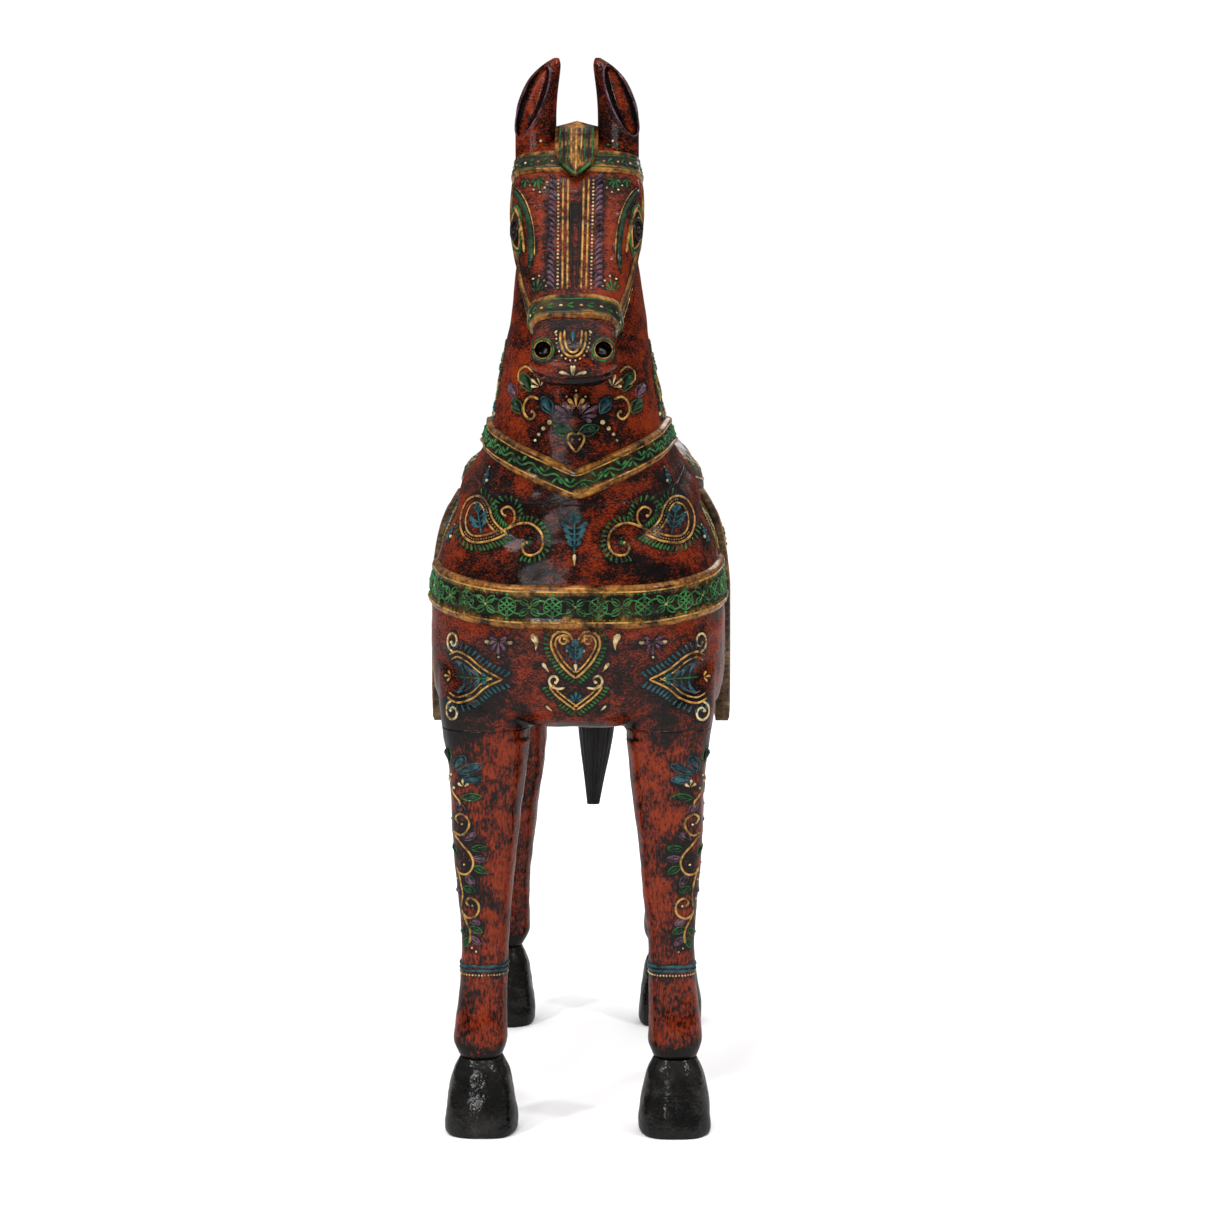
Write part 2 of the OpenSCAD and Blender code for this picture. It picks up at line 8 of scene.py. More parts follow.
import bmesh
import bpy
import numpy as np
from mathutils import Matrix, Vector
from mathutils.bvhtree import BVHTree
from mathutils.kdtree import KDTree


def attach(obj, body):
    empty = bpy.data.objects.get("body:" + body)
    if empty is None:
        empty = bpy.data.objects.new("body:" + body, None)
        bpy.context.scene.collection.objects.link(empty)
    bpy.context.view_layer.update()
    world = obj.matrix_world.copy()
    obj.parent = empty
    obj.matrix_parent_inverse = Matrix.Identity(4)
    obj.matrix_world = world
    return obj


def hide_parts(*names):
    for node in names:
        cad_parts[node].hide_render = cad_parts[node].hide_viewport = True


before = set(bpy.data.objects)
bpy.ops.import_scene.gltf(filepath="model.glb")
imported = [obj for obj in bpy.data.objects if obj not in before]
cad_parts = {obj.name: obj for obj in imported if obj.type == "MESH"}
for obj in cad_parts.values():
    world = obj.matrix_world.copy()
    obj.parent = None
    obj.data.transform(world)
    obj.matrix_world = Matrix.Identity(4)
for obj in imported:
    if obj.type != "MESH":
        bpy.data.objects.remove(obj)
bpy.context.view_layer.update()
MM = 0.001
SIDES = (1, -1)
NAMED_SIDES = ((1, "left"), (-1, "right"))


# ---------------------------------------------------------------- camera and light
LOOKS_DOWN, LOOKS_ASIDE = 4.9, 0.71   # degrees

camera = bpy.data.objects.new("camera", bpy.data.cameras.new("camera"))
bpy.context.scene.collection.objects.link(camera)
camera.data.lens = 84.72
camera.data.sensor_width = 36
camera.data.clip_end = 60
camera.location = (0.055, -2.5925, 0.6607)
camera.rotation_euler = (math.radians(90 - LOOKS_DOWN), 0, math.radians(LOOKS_ASIDE))
bpy.context.scene.camera = camera


def softbox(name, place, target, size, watts):
    lamp = bpy.data.lights.new(name, "AREA")
    lamp.shape = "RECTANGLE"
    lamp.size, lamp.size_y = size
    lamp.energy = watts
    obj = bpy.data.objects.new(name, lamp)
    bpy.context.scene.collection.objects.link(obj)
    obj.location = place
    obj.rotation_euler = (Vector(target) - obj.location).to_track_quat("-Z", "Y").to_euler()


softbox("key_light", (-1.4, -1.7, 2.4), (0, -0.1, 0.5), (0.2, 0.3), 29)
softbox("fill_light", (1.7, -1.3, 2.4), (0, -0.1, 0.5), (0.2, 0.3), 21)
softbox("front_light", (-0.8, -3.3, 1.1), (0, -0.2, 0.3), (0.25, 0.6), 26)
softbox("top_light", (-0.15, -1.5, 2.4), (0, -0.15, 0.6), (0.2, 0.2), 12)
softbox("back_light", (0.9, 2.8, 1.9), (0, 0.1, 0.5), (1.2, 1.2), 22)


def studio(horizon, overhead):
    """White behind the object. For light, a ceiling that is bright overhead and dim towards the horizon."""
    world = bpy.data.worlds.new("studio")
    bpy.context.scene.world = world
    world.use_nodes = True
    tree = world.node_tree
    white = tree.nodes["Background"]
    white.inputs["Color"].default_value = (1, 1, 1, 1)
    white.inputs["Strength"].default_value = 1.02
    ceiling = tree.nodes.new("ShaderNodeBackground")
    split = tree.nodes.new("ShaderNodeSeparateXYZ")
    tree.links.new(tree.nodes.new("ShaderNodeTexCoord").outputs["Generated"], split.inputs[0])
    level = split.outputs["Z"]
    for operation, value in (("MAXIMUM", 0.0), ("POWER", 2.0), ("MULTIPLY", overhead), ("ADD", horizon)):
        node = tree.nodes.new("ShaderNodeMath")
        node.operation = operation
        node.inputs[1].default_value = value
        tree.links.new(level, node.inputs[0])
        level = node.outputs[0]
    tree.links.new(level, ceiling.inputs["Strength"])
    both = tree.nodes.new("ShaderNodeMixShader")
    seen = tree.nodes.new("ShaderNodeLightPath").outputs["Is Camera Ray"]
    tree.links.new(seen, both.inputs[0])
    tree.links.new(ceiling.outputs[0], both.inputs[1])
    tree.links.new(white.outputs[0], both.inputs[2])
    tree.links.new(both.outputs[0], tree.nodes["World Output"].inputs["Surface"])


studio(horizon=0.2, overhead=2.3)
bpy.context.scene.view_settings.view_transform = "Standard"


# ---------------------------------------------------------------- materials
def srgb(r, g, b):
    """A colour given as 0 to 255, as the linear numbers that a shader takes."""
    v = np.array([r, g, b]) / 255
    return (*np.where(v <= 0.04045, v / 12.92, ((v + 0.055) / 1.055) ** 2.4), 1.0)


MIX_INPUTS, MIX_OUTPUT = (0, 6, 7), 2   # a Mix node's sockets for a share and two colours, and for their mix


class Material:
    """A node tree that is built a line at a time. Names of outputs are Blender's own."""

    def __init__(self, name, **values):
        self.data = bpy.data.materials.new(name)
        self.data.use_nodes = True
        self.tree = self.data.node_tree
        self.shader = self.tree.nodes["Principled BSDF"]
        for key, value in values.items():
            self.shader.inputs[key.replace("_", " ")].default_value = value
        self.place = self.add("ShaderNodeTexCoord").outputs["Object"]

    def add(self, kind, **settings):
        node = self.tree.nodes.new(kind)
        for key, value in settings.items():
            setattr(node, key, value)
        return node

    def put(self, value, socket):
        """Links an output to a socket, or sets the socket to a number or a colour."""
        if isinstance(value, bpy.types.NodeSocket):
            self.tree.links.new(value, socket)
        else:
            socket.default_value = value

    def stretched(self, x, y, z):
        node = self.add("ShaderNodeMapping")
        self.put(self.place, node.inputs["Vector"])
        node.inputs["Scale"].default_value = (x, y, z)
        return node.outputs[0]

    def noise(self, scale, detail=6, rough=0.6, twist=0.0, at=None):
        node = self.add("ShaderNodeTexNoise")
        self.put(at or self.place, node.inputs["Vector"])
        for key, value in (("Scale", scale), ("Detail", detail), ("Roughness", rough), ("Distortion", twist)):
            node.inputs[key].default_value = value
        return node.outputs["Fac"]

    def maths(self, operation, a, b):
        node = self.add("ShaderNodeMath", operation=operation)
        self.put(a, node.inputs[0])
        self.put(b, node.inputs[1])
        return node.outputs[0]

    def total(self, *terms):
        """The sum of (output, number) pairs, each output times its number."""
        out = None
        for value, number in terms:
            part = value if number == 1 else self.maths("MULTIPLY", value, number)
            out = part if out is None else self.maths("ADD", out, part)
        return out

    def centred(self, noise):
        return self.maths("SUBTRACT", noise, 0.5)

    def spread(self, value, low, high, to_low=0.0, to_high=1.0):
        node = self.add("ShaderNodeMapRange", interpolation_type="SMOOTHSTEP")
        for socket, v in zip(node.inputs, (value, low, high, to_low, to_high)):
            self.put(v, socket)
        return node.outputs[0]

    def ramp(self, value, *stops):
        node = self.add("ShaderNodeValToRGB")
        self.put(value, node.inputs[0])
        elements = node.color_ramp.elements
        for _ in stops[2:]:
            elements.new(0.5)
        for element, (position, colour) in zip(elements, stops):
            element.position = position
            element.color = colour
        return node.outputs["Color"]

    def mix(self, share, a, b):
        node = self.add("ShaderNodeMix", data_type="RGBA")
        for socket, value in zip(MIX_INPUTS, (share, a, b)):
            self.put(value, node.inputs[socket])
        return node.outputs[MIX_OUTPUT]

    def blend(self, share, a, b):
        """A number between a and b, by the share."""
        return self.maths("ADD", a, self.maths("MULTIPLY", share, self.maths("SUBTRACT", b, a)))

    def attribute(self, name):
        return self.add("ShaderNodeAttribute", attribute_name=name).outputs["Fac"]

    def bump(self, height, strength, distance, coat_share=0.4):
        """Raises the height over the paint, and a share of it over the lacquer on top."""
        for socket, share in (("Normal", 1), ("Coat Normal", coat_share)):
            node = self.add("ShaderNodeBump")
            node.inputs["Strength"].default_value = strength * share
            node.inputs["Distance"].default_value = distance
            self.put(height, node.inputs["Height"])
            self.put(node.outputs[0], self.shader.inputs[socket])

    def finish(self, colour, rough=None):
        self.put(colour, self.shader.inputs["Base Color"])
        if rough is not None:
            self.put(rough, self.shader.inputs["Roughness"])
        return self.data


INK = srgb(11, 7, 6)
UMBER = srgb(29, 13, 9)
MAROON = srgb(56, 19, 11)
ORANGE = srgb(90, 26, 7)
BRIGHT = srgb(118, 41, 14)


def worn_red():
    """Orange-red paint, rubbed back to dark patches, under lacquer. Piped motifs sit on a darker ground."""
    m = Material("worn_red", Specular_IOR_Level=0.0, Coat_Weight=0.25, Coat_Roughness=0.1)
    patches = m.noise(17, 10, 0.66, 0.6, m.stretched(1, 0.8, 1.1))
    blots = m.noise(75, 9, 0.7, 0.4, m.stretched(1, 1, 1.5))
    level = m.noise(420, 5, 0.75, 0, m.stretched(1, 1, 1.9))
    upright = m.noise(420, 5, 0.75, 0, m.stretched(1.25, 1.25, 0.42))
    specks = m.blend(m.attribute("upright"), level, upright)
    # The first attribute darkens the paint in two ways: a dark ground under piped strokes, and painted shade
    # under the collar, noseband and belly and in the nostrils. The second attribute is painted shade in
    # creases, with slightly lighter paint on edges.
    tone = m.total((patches, 0.58), (blots, 0.42), (m.centred(specks), 0.8),
                   (m.attribute("stain"), -0.135), (m.attribute("crease"), -0.09))
    colour = m.ramp(tone, (0.405, INK), (0.447, UMBER), (0.476, MAROON), (0.518, ORANGE), (0.61, BRIGHT))
    grain = m.blend(m.attribute("upright"), m.noise(150, 8, 0.65, 0, m.stretched(1, 1, 3.5)),
                    m.noise(150, 8, 0.65, 0, m.stretched(2.2, 2.2, 0.4)))
    m.bump(m.total((grain, 0.9), (tone, 0.9)), 0.65, 0.0018, coat_share=0.2)
    return m.finish(colour, m.spread(m.total((specks, 1), (patches, 0.6)), 0.5, 1.1, 0.3, 0.55))


def gilded():
    """Gold paint on a band, worn through to dark along its middle, where the vine is piped."""
    m = Material("gilded", Metallic=0.25, Specular_IOR_Level=0.0, Coat_Weight=0.25, Coat_Roughness=0.16)
    rub = m.noise(60, 9, 0.7, 0.4)
    specks = m.noise(300, 4, 0.7)
    middle = m.spread(m.total((m.attribute("across"), 1), (m.centred(rub), 0.9)), 0.42, 0.78)
    gold = m.ramp(m.total((rub, 1), (m.centred(specks), 0.4)), (0.37, srgb(24, 14, 8)),
                  (0.45, srgb(80, 47, 18)), (0.56, srgb(126, 82, 34)), (0.72, srgb(174, 124, 60)))
    dark = m.mix(m.spread(rub, 0.47, 0.68), srgb(17, 15, 10), srgb(60, 44, 22))
    m.bump(m.total((rub, 1), (specks, 0.4)), 0.4, 0.001)
    return m.finish(m.mix(middle, dark, gold), m.spread(rub, 0.35, 0.65, 0.5, 0.3))


def lacquered_black():
    """The hooves: thick glossy black, with lumps from the chisel and the brush."""
    m = Material("lacquered_black", Specular_IOR_Level=0.0, Coat_Weight=0.3, Coat_Roughness=0.14)
    lumps = m.noise(40, 5, 0.5, 0.3)
    pits = m.noise(420, 5, 0.75)
    dents = m.noise(330, 2, 0.5)
    colour = m.ramp(m.total((lumps, 0.6), (pits, 0.4)),
                    (0.35, srgb(8, 8, 8)), (0.52, srgb(19, 18, 17)), (0.7, srgb(44, 41, 38)))
    m.bump(m.total((lumps, 0.4), (dents, 0.5)), 0.9, 0.001, coat_share=1)
    return m.finish(colour, m.spread(pits, 0.35, 0.7, 0.32, 0.55))


def satin_black():
    """The tail and the mane: plain black paint with carved hair under it."""
    m = Material("satin_black", Specular_IOR_Level=0.25, Coat_Weight=0.12, Coat_Roughness=0.3)
    strands = m.noise(190, 6, 0.6, 0.2, m.stretched(1, 1, 0.12))
    cloud = m.noise(30, 5, 0.6)
    colour = m.ramp(m.total((strands, 0.5), (cloud, 0.5)),
                    (0.35, srgb(9, 8, 9)), (0.55, srgb(20, 19, 20)), (0.72, srgb(40, 37, 36)))
    m.bump(strands, 0.5, 0.0016)
    return m.finish(colour, m.spread(strands, 0.3, 0.7, 0.42, 0.62))


def saddle_cloth():
    """Dark paint dry-brushed with gold, in fine level lines."""
    m = Material("saddle_cloth", Specular_IOR_Level=0.1, Coat_Weight=0.2, Coat_Roughness=0.2, Metallic=0.1)
    rub = m.noise(40, 9, 0.7, 0.3)
    rows = m.noise(300, 3, 0.5, 0, m.stretched(0.25, 0.25, 1))
    specks = m.noise(380, 4, 0.7)
    colour = m.ramp(m.total((rub, 0.5), (rows, 0.35), (specks, 0.15)), (0.38, srgb(22, 15, 11)),
                    (0.48, srgb(54, 39, 27)), (0.58, srgb(98, 76, 46)), (0.7, srgb(138, 110, 66)))
    m.bump(m.total((rows, 1), (rub, 0.5)), 0.45, 0.0012)
    return m.finish(colour, m.spread(rub, 0.35, 0.65, 0.6, 0.38))


def turned_wood():
    m = Material("turned_wood", Roughness=0.6)
    rings = m.noise(90, 6, 0.55, 1.2, m.stretched(1, 1, 0.2))
    m.bump(rings, 0.3, 0.001)
    return m.finish(m.ramp(rings, (0.35, srgb(150, 108, 66)), (0.55, srgb(186, 142, 94)),
                           (0.7, srgb(205, 166, 116))))


def piped(name, dark, light, rough=0.34, metal=0.0, coat=0.3):
    """Paint piped from a cone: rounded, slightly uneven in colour, rubbed dark in places."""
    m = Material(name, Metallic=metal, Specular_IOR_Level=0.0, Coat_Weight=coat, Coat_Roughness=0.12)
    rub = m.noise(170, 7, 0.7)
    cloud = m.noise(45, 4, 0.6)
    colour = m.ramp(m.total((rub, 0.6), (cloud, 0.4)), (0.35, INK), (0.44, dark), (0.57, light))
    m.bump(rub, 0.25, 0.0005)
    return m.finish(colour, m.spread(rub, 0.35, 0.65, rough + 0.12, rough))


MATERIALS = {
    "red": worn_red(),
    "band": gilded(),
    "hoof": lacquered_black(),
    "black": satin_black(),
    "saddle": saddle_cloth(),
    "wood": turned_wood(),
    "gold": piped("piped_gold", srgb(84, 55, 20), srgb(180, 135, 66), rough=0.28, metal=0.25, coat=0.4),
    "cream": piped("piped_cream", srgb(112, 90, 58), srgb(198, 176, 130), rough=0.35),
    "green": piped("piped_green", srgb(14, 38, 18), srgb(42, 90, 42)),
    "teal": piped("piped_teal", srgb(12, 34, 38), srgb(38, 78, 84)),
    "purple": piped("piped_purple", srgb(34, 23, 31), srgb(92, 68, 80)),
    "leaf": piped("piped_leaf", srgb(10, 24, 16), srgb(26, 54, 32)),
    "shade": piped("piped_shade", srgb(14, 10, 9), srgb(34, 24, 20), rough=0.28),
    "vivid": piped("piped_vivid_green", srgb(18, 46, 24), srgb(52, 108, 56)),
    "floor": Material("pale_floor", Base_Color=(0.97,) * 3 + (1,), Roughness=0.9,
                      Specular_IOR_Level=0.0).data,
}


# ---------------------------------------------------------------- meshes
MOST_SKIN_CORNERS = 8   # a face with more is the flat cap of a cut


def add_object(name, verts, faces, material, smooth=True, **attributes):
    """A mesh object from millimetre points, with per-vertex numbers that its material may read."""
    mesh = bpy.data.meshes.new(name)
    mesh.from_pydata((np.asarray(verts) * MM).tolist(), [], [list(f) for f in faces])
    mesh.validate()
    for key, values in attributes.items():
        layer = mesh.attributes.new(key, "FLOAT", "POINT")
        layer.data.foreach_set("value", np.asarray(values, np.float32))
    if smooth:
        # a cap stays flat, so that it doesn't bend the shading along its rim
        mesh.polygons.foreach_set("use_smooth", [f.loop_total <= MOST_SKIN_CORNERS for f in mesh.polygons])
    mesh.materials.append(MATERIALS[material])
    obj = bpy.data.objects.new(name, mesh)
    bpy.context.scene.collection.objects.link(obj)
    return obj


def piece(name, verts, faces, material, *nodes, smooth=True, **attributes):
    obj = add_object(name, verts, faces, material, smooth, **attributes)
    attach(obj, "root")
    if nodes:
        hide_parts(*nodes)
    return obj


def tree_of(verts, faces):
    return BVHTree.FromPolygons(verts.tolist(), [list(map(int, f)) for f in faces])


def sections(*rows):
    """Cross-sections for a loft. A row gives two points of the outline (y, z, y, z), half the width, where
    between the two points it is widest, an exponent for the curve on either side of that, and the
    middle's x."""
    defaults = (0.5, 2.4, 2.4, 0.0)
    return np.array([(*row, *defaults[len(row) - 5:]) for row in rows], float)


def power(v, e):
    return np.sign(v) * np.abs(v) ** e


def ring(s, sides):
    """The points round one cross-section."""
    t = np.arange(sides) * 2 * math.pi / sides
    a, b, (half, share, na, nb, x) = s[0:2], s[2:4], s[4:]
    c = a + (b - a) * share
    along = (b - a) / np.linalg.norm(b - a)
    low = np.sin(t) < 0
    n = np.where(low, na, nb)
    reach = np.where(low, np.linalg.norm(c - a), np.linalg.norm(b - c))
    p = c + along * (reach * power(np.sin(t), 2 / n))[:, None]
    return np.column_stack([x + half * power(np.cos(t), 2 / n), p])


def smooth_steps(rows, steps):
    """Catmull-Rom through rows of numbers, with that many steps in each span."""
    rows = np.asarray(rows, float)
    out = []
    for i in range(len(rows) - 1):
        p, q, r, s = (rows[min(max(i + k, 0), len(rows) - 1)] for k in (-1, 0, 1, 2))
        for k in range(steps):
            u = k / steps
            out.append(0.5 * (2 * q + (r - p) * u + (2 * p - 5 * q + 4 * r - s) * u * u
                              + (3 * q - p - 3 * r + s) * u ** 3))
    return np.array(out + [rows[-1]])


def loft(rows, sides, steps=5):
    """A closed mesh through the cross-sections, as (points, faces)."""
    return closed_tube(np.array([ring(s, sides) for s in smooth_steps(rows, steps)]))


def closed_tube(rings):
    """A tube through rings of points, with a cap at each end."""
    count, sides = rings.shape[:2]
    i, j = np.meshgrid(np.arange(count - 1), np.arange(sides), indexing="ij")
    k = (j + 1) % sides
    quads = np.stack([i * sides + j, i * sides + k, (i + 1) * sides + k, (i + 1) * sides + j], -1)
    first, last = list(range(sides))[::-1], list(range((count - 1) * sides, count * sides))
    verts = rings.reshape(-1, 3)
    faces = quads.reshape(-1, 4).tolist() + [first, last]
    centre = rings[0].mean(0)
    along = rings[-1].mean(0) - centre
    if np.dot(np.cross(rings[0][0] - centre, rings[0][sides // 4] - centre), along) < 0:
        faces = [f[::-1] for f in faces]
    return verts, faces


def ellipsoid(centre, axes, radii, sides=28):
    """A closed ball with its three half axes along the given directions."""
    t = np.linspace(0.02, math.pi - 0.02, sides // 2)
    a = np.arange(sides) * 2 * math.pi / sides
    local = np.stack([np.sin(t)[:, None] * np.cos(a), np.sin(t)[:, None] * np.sin(a),
                      np.repeat(np.cos(t)[:, None], sides, 1)], -1) * radii
    return closed_tube(np.asarray(centre) + local @ np.asarray(axes))


class Skin:
    """A carved surface: quads of even size round a union of closed meshes."""

    def __init__(self, parts, voxel, rounds=6):
        verts, faces, base = [], [], 0
        for v, f in parts:
            verts.append(v)
            faces += [[i + base for i in face] for face in f]
            base += len(v)
        mesh = bpy.data.meshes.new("union")
        mesh.from_pydata((np.concatenate(verts) * MM).tolist(), [], faces)
        obj = bpy.data.objects.new("union", mesh)
        bpy.context.scene.collection.objects.link(obj)
        remesh = obj.modifiers.new("remesh", "REMESH")
        remesh.mode = "VOXEL"
        remesh.voxel_size = voxel * MM
        out = obj.evaluated_get(bpy.context.evaluated_depsgraph_get()).to_mesh()
        self.v = np.empty(len(out.vertices) * 3)
        out.vertices.foreach_get("co", self.v)
        self.v = self.v.reshape(-1, 3) / MM
        self.f = np.empty(len(out.polygons) * 4, int)
        out.polygons.foreach_get("vertices", self.f)
        self.f = self.f.reshape(-1, 4)
        bpy.data.objects.remove(obj)
        bpy.data.meshes.remove(mesh)
        self.smooth(rounds)

    def edges(self):
        e = np.concatenate([self.f[:, [i, (i + 1) % 4]] for i in range(4)])
        return np.unique(np.sort(e, 1), axis=0)

    def average(self, values, e):
        """Each vertex's mean over its neighbours."""
        out = np.empty_like(values)
        count = np.bincount(e.ravel(), minlength=len(values)).clip(1)
        for k in range(values.shape[1]):
            total = np.bincount(e[:, 0], values[e[:, 1], k], len(values))
            total += np.bincount(e[:, 1], values[e[:, 0], k], len(values))
            out[:, k] = total / count
        return out

    def smooth(self, rounds):
        """Rounds off steps, and pushes back out by as much, so that the form doesn't shrink."""
        e = self.edges()
        for push in (0.55, -0.57) * rounds:
            self.v = self.v + (self.average(self.v, e) - self.v) * push

    def normals(self):
        a = self.v[self.f[:, 2]] - self.v[self.f[:, 0]]
        b = self.v[self.f[:, 3]] - self.v[self.f[:, 1]]
        n = np.cross(a, b)
        out = np.zeros_like(self.v)
        for k in range(3):
            for c in range(4):
                out[:, k] += np.bincount(self.f[:, c], n[:, k], len(self.v))
        return out / np.linalg.norm(out, axis=1, keepdims=True).clip(1e-9)

    def raise_by(self, height):
        self.v = self.v + self.normals() * np.asarray(height)[:, None]

    def hollowness(self):
        """Positive in creases and negative on edges, in millimetres."""
        e = self.edges()
        v = self.v
        for _ in range(3):
            v = self.average(v, e)
        return np.einsum("ij,ij->i", v - self.v, self.normals())

    def tree(self):
        return tree_of(self.v, self.f)


def waves(v, length, seed, count=14):
    """Soft, seeded unevenness between about -1 and 1, as from a hand tool."""
    local = np.random.default_rng(seed)
    total = np.zeros(len(v))
    for _ in range(count):
        direction = local.normal(size=3)
        direction *= local.uniform(0.6, 1.5) * 2 * math.pi / length / np.linalg.norm(direction)
        total += np.sin(v @ direction + local.uniform(0, 2 * math.pi))
    return total / math.sqrt(count)


def ease(t):
    """0 before 0, 1 after 1, and smooth between."""
    t = np.clip(t, 0, 1)
    return t * t * (3 - 2 * t)


def bump_at(d, width):
    return np.exp(-(d / width) ** 2)


def cut(verts, faces, planes, names):
    """Keeps what lies on the inner side of every plane (point, outward normal), and closes the cuts."""
    mesh = bpy.data.meshes.new("cut")
    mesh.from_pydata(np.asarray(verts).tolist(), [], [list(f) for f in faces])
    bm = bmesh.new()
    bm.from_mesh(mesh)
    layers = [bm.verts.layers.float.new(key) for key in names]
    for vert, row in zip(bm.verts, zip(*names.values())) if names else ():
        for layer, value in zip(layers, row):
            vert[layer] = value
    for point, normal in planes:
        made = bmesh.ops.bisect_plane(bm, geom=bm.verts[:] + bm.edges[:] + bm.faces[:], dist=1e-5,
                                      plane_co=point, plane_no=normal, clear_outer=True)
        rim = [g for g in made["geom_cut"] if isinstance(g, bmesh.types.BMEdge) and g.is_boundary]
        bmesh.ops.edgeloop_fill(bm, edges=rim)
    bm.verts.index_update()
    out = (np.array([v.co[:] for v in bm.verts]), [[v.index for v in f.verts] for f in bm.faces],
           {key: [v[layer] for v in bm.verts] for key, layer in zip(names, layers)})
    bm.free()
    bpy.data.meshes.remove(mesh)
    return out


# ---------------------------------------------------------------- the carved form
W, B = 126, 353      # half width of the trunk, and the height of its underside
FY, RY = -172, 238   # where the front and rear legs stand
HOOF = 83.5          # from the middle to a hoof's centre
FRONT_HOOF, REAR_HOOF = 66, 78

TRUNK = sections(
    (-250, B + 88, -250, B + 114, 12),
    (-247, B + 61, -247, B + 138, 40, 0.5, 2.2, 2.2),
    (-240, B + 35, -240, B + 162, 64, 0.5, 2.3, 2.2),
    (-226, B + 12, -226, B + 188, W - 38, 0.46, 2.8, 2.3),
    (-206, B + 2, -206, B + 210, W - 18, 0.38, 3.6, 2.4),
    (-180, B, -180, B + 222, W - 5, 0.31, 4.4, 2.5),
    (-140, B, -140, B + 228, W, 0.31, 4.6, 2.6),
    (-60, B, -60, B + 229, W, 0.31, 4.0, 3.0),
    (40, B + 1, 40, B + 222, W, 0.32, 3.4, 3.3),
    (130, B, 130, B + 220, W, 0.32, 3.8, 3.0),
    (200, B, 200, B + 221, W - 1, 0.33, 4.4, 2.6),
    (246, B + 4, 246, B + 212, W - 12, 0.38, 3.8, 2.4),
    (274, B + 22, 274, B + 194, W - 36, 0.44, 2.8, 2.3),
    (292, B + 52, 292, B + 166, W - 68, 0.48, 2.3, 2.2),
    (299, B + 82, 299, B + 134, W - 100),
)
NECK = sections(
    (-242, 500, 20, 540, 108),
    (-240, 524, 14, 582, 103),
    (-237, 546, 4, 600, 90),
    (-232, 570, -8, 626, 78, 0.48),
    (-226, 606, -28, 664, 70, 0.46),
    (-217, 652, -54, 708, 61, 0.44),
    (-210, 700, -78, 752, 54, 0.44),
    (-205, 745, -102, 798, 47, 0.45),
    (-200, 785, -128, 832, 40, 0.48),
)
HEAD = sections(
    (-142, 838, -112, 800, 40, 0.45, 2.8, 2.4),
    (-160, 848, -112, 778, 49, 0.42, 3.2, 2.3),
    (-182, 846, -112, 756, 52, 0.40, 3.4, 2.3),
    (-206, 826, -126, 728, 54, 0.38, 3.4, 2.3),
    (-226, 796, -148, 702, 52.5, 0.36, 3.6, 2.3),
    (-246, 767, -172, 684, 47, 0.36, 3.6, 2.4),
    (-266, 740, -202, 672, 41, 0.38, 3.4, 2.5),
    (-285, 717, -232, 661, 35, 0.40, 3.4, 2.6),
    (-301, 701, -256, 652, 33.5, 0.44, 3.2, 2.8),
    (-316, 687, -278, 644, 34.5, 0.46, 3.0, 2.9),
    (-326, 674, -298, 639, 33.5, 0.48, 2.8, 2.8),
    (-330, 663, -313, 641, 28),
    (-330.5, 656, -322, 646, 15),
)

# the legs: y, z, y, z, with y from where the leg stands, half width, two exponents, share of the hoof's x
FRONT_LEG = [
    (-22, B + 100, 54, B + 90, 30, 2.4, 2.4, 0.96),
    (-40, B + 62, 58, B + 56, 40, 2.6, 2.6, 0.95),
    (-47, B + 26, 52, B + 26, 39.5, 2.8, 2.8, 0.94),
    (-46, B, 45, B, 37.5, 3.0, 2.9, 0.925),
    (-39, 314, 37, 314, 32.5, 3.0, 2.8, 0.92),
    (-29, 244, 27, 244, 27, 2.8, 2.6, 0.948),
    (-22, 176, 22, 176, 20.4, 2.6, 2.5, 0.952),
    (-21, 150, 21, 150, 19.8, 2.6, 2.5, 0.962),
    (-22, 114, 22, 114, 21, 2.6, 2.5, 0.985),
    (-25, 88, 24, 88, 22.8, 2.5, 2.4, 1),
    (-25, 78, 24, 78, 22.8, 2.4, 2.4, 1),
    (-20, FRONT_HOOF, 20, FRONT_HOOF, 18, 2.3, 2.3, 1),
]
REAR_LEG = [
    (-46, B + 110, 34, B + 110, 28, 2.4, 2.4, 0.94),
    (-68, B + 64, 50, B + 64, 40, 2.6, 2.6, 0.93),
    (-70, B + 26, 50, B + 26, 40, 2.8, 2.6, 0.92),
    (-66, B, 46, B, 39, 2.9, 2.6, 0.90),
    (-58, 316, 38, 316, 35, 2.8, 2.6, 0.88),
    (-38, 262, 34, 262, 31, 2.7, 2.5, 0.88),
    (-22, 206, 38, 206, 26, 2.6, 2.4, 0.92),
    (-20, 168, 28, 168, 22, 2.6, 2.4, 0.93),
    (-21, 130, 22, 130, 20.4, 2.5, 2.4, 0.93),
    (-23, 100, 24, 100, 22, 2.5, 2.4, 0.95),
    (-23, 90, 24, 90, 22, 2.4, 2.4, 0.97),
    (-18, REAR_HOOF, 18, REAR_HOOF, 17, 2.3, 2.3, 0.99),
]


def leg_loft(y, x, rows):
    return loft(sections(*((y + a, za, y + b, zb, half, 0.5, na, nb, x * share)
                           for a, za, b, zb, half, na, nb, share in rows)), 80)


def unit(v):
    v = np.asarray(v, float)
    return v / np.linalg.norm(v)


def glue_plane(y, z, lean):
    """A plane through y, z as (point, normal), with its normal leaning forward by that many degrees."""
    return np.array([0, y, z], float), unit([0, -math.sin(math.radians(lean)), math.cos(math.radians(lean))])


NECK_PLANE = glue_plane(-247, 541, 14)
HEAD_PLANE = glue_plane(-184, 715, 62)

body = Skin([loft(TRUNK, 120), loft(NECK, 96), loft(HEAD[:7], 96)]
            + [leg_loft(y, HOOF * side, rows)
               for side in SIDES for y, rows in ((FY, FRONT_LEG), (RY, REAR_LEG))], voxel=2.3, rounds=10)
x, y, z = body.v.T
front = np.clip((-150 - y) / 60, 0, 1)
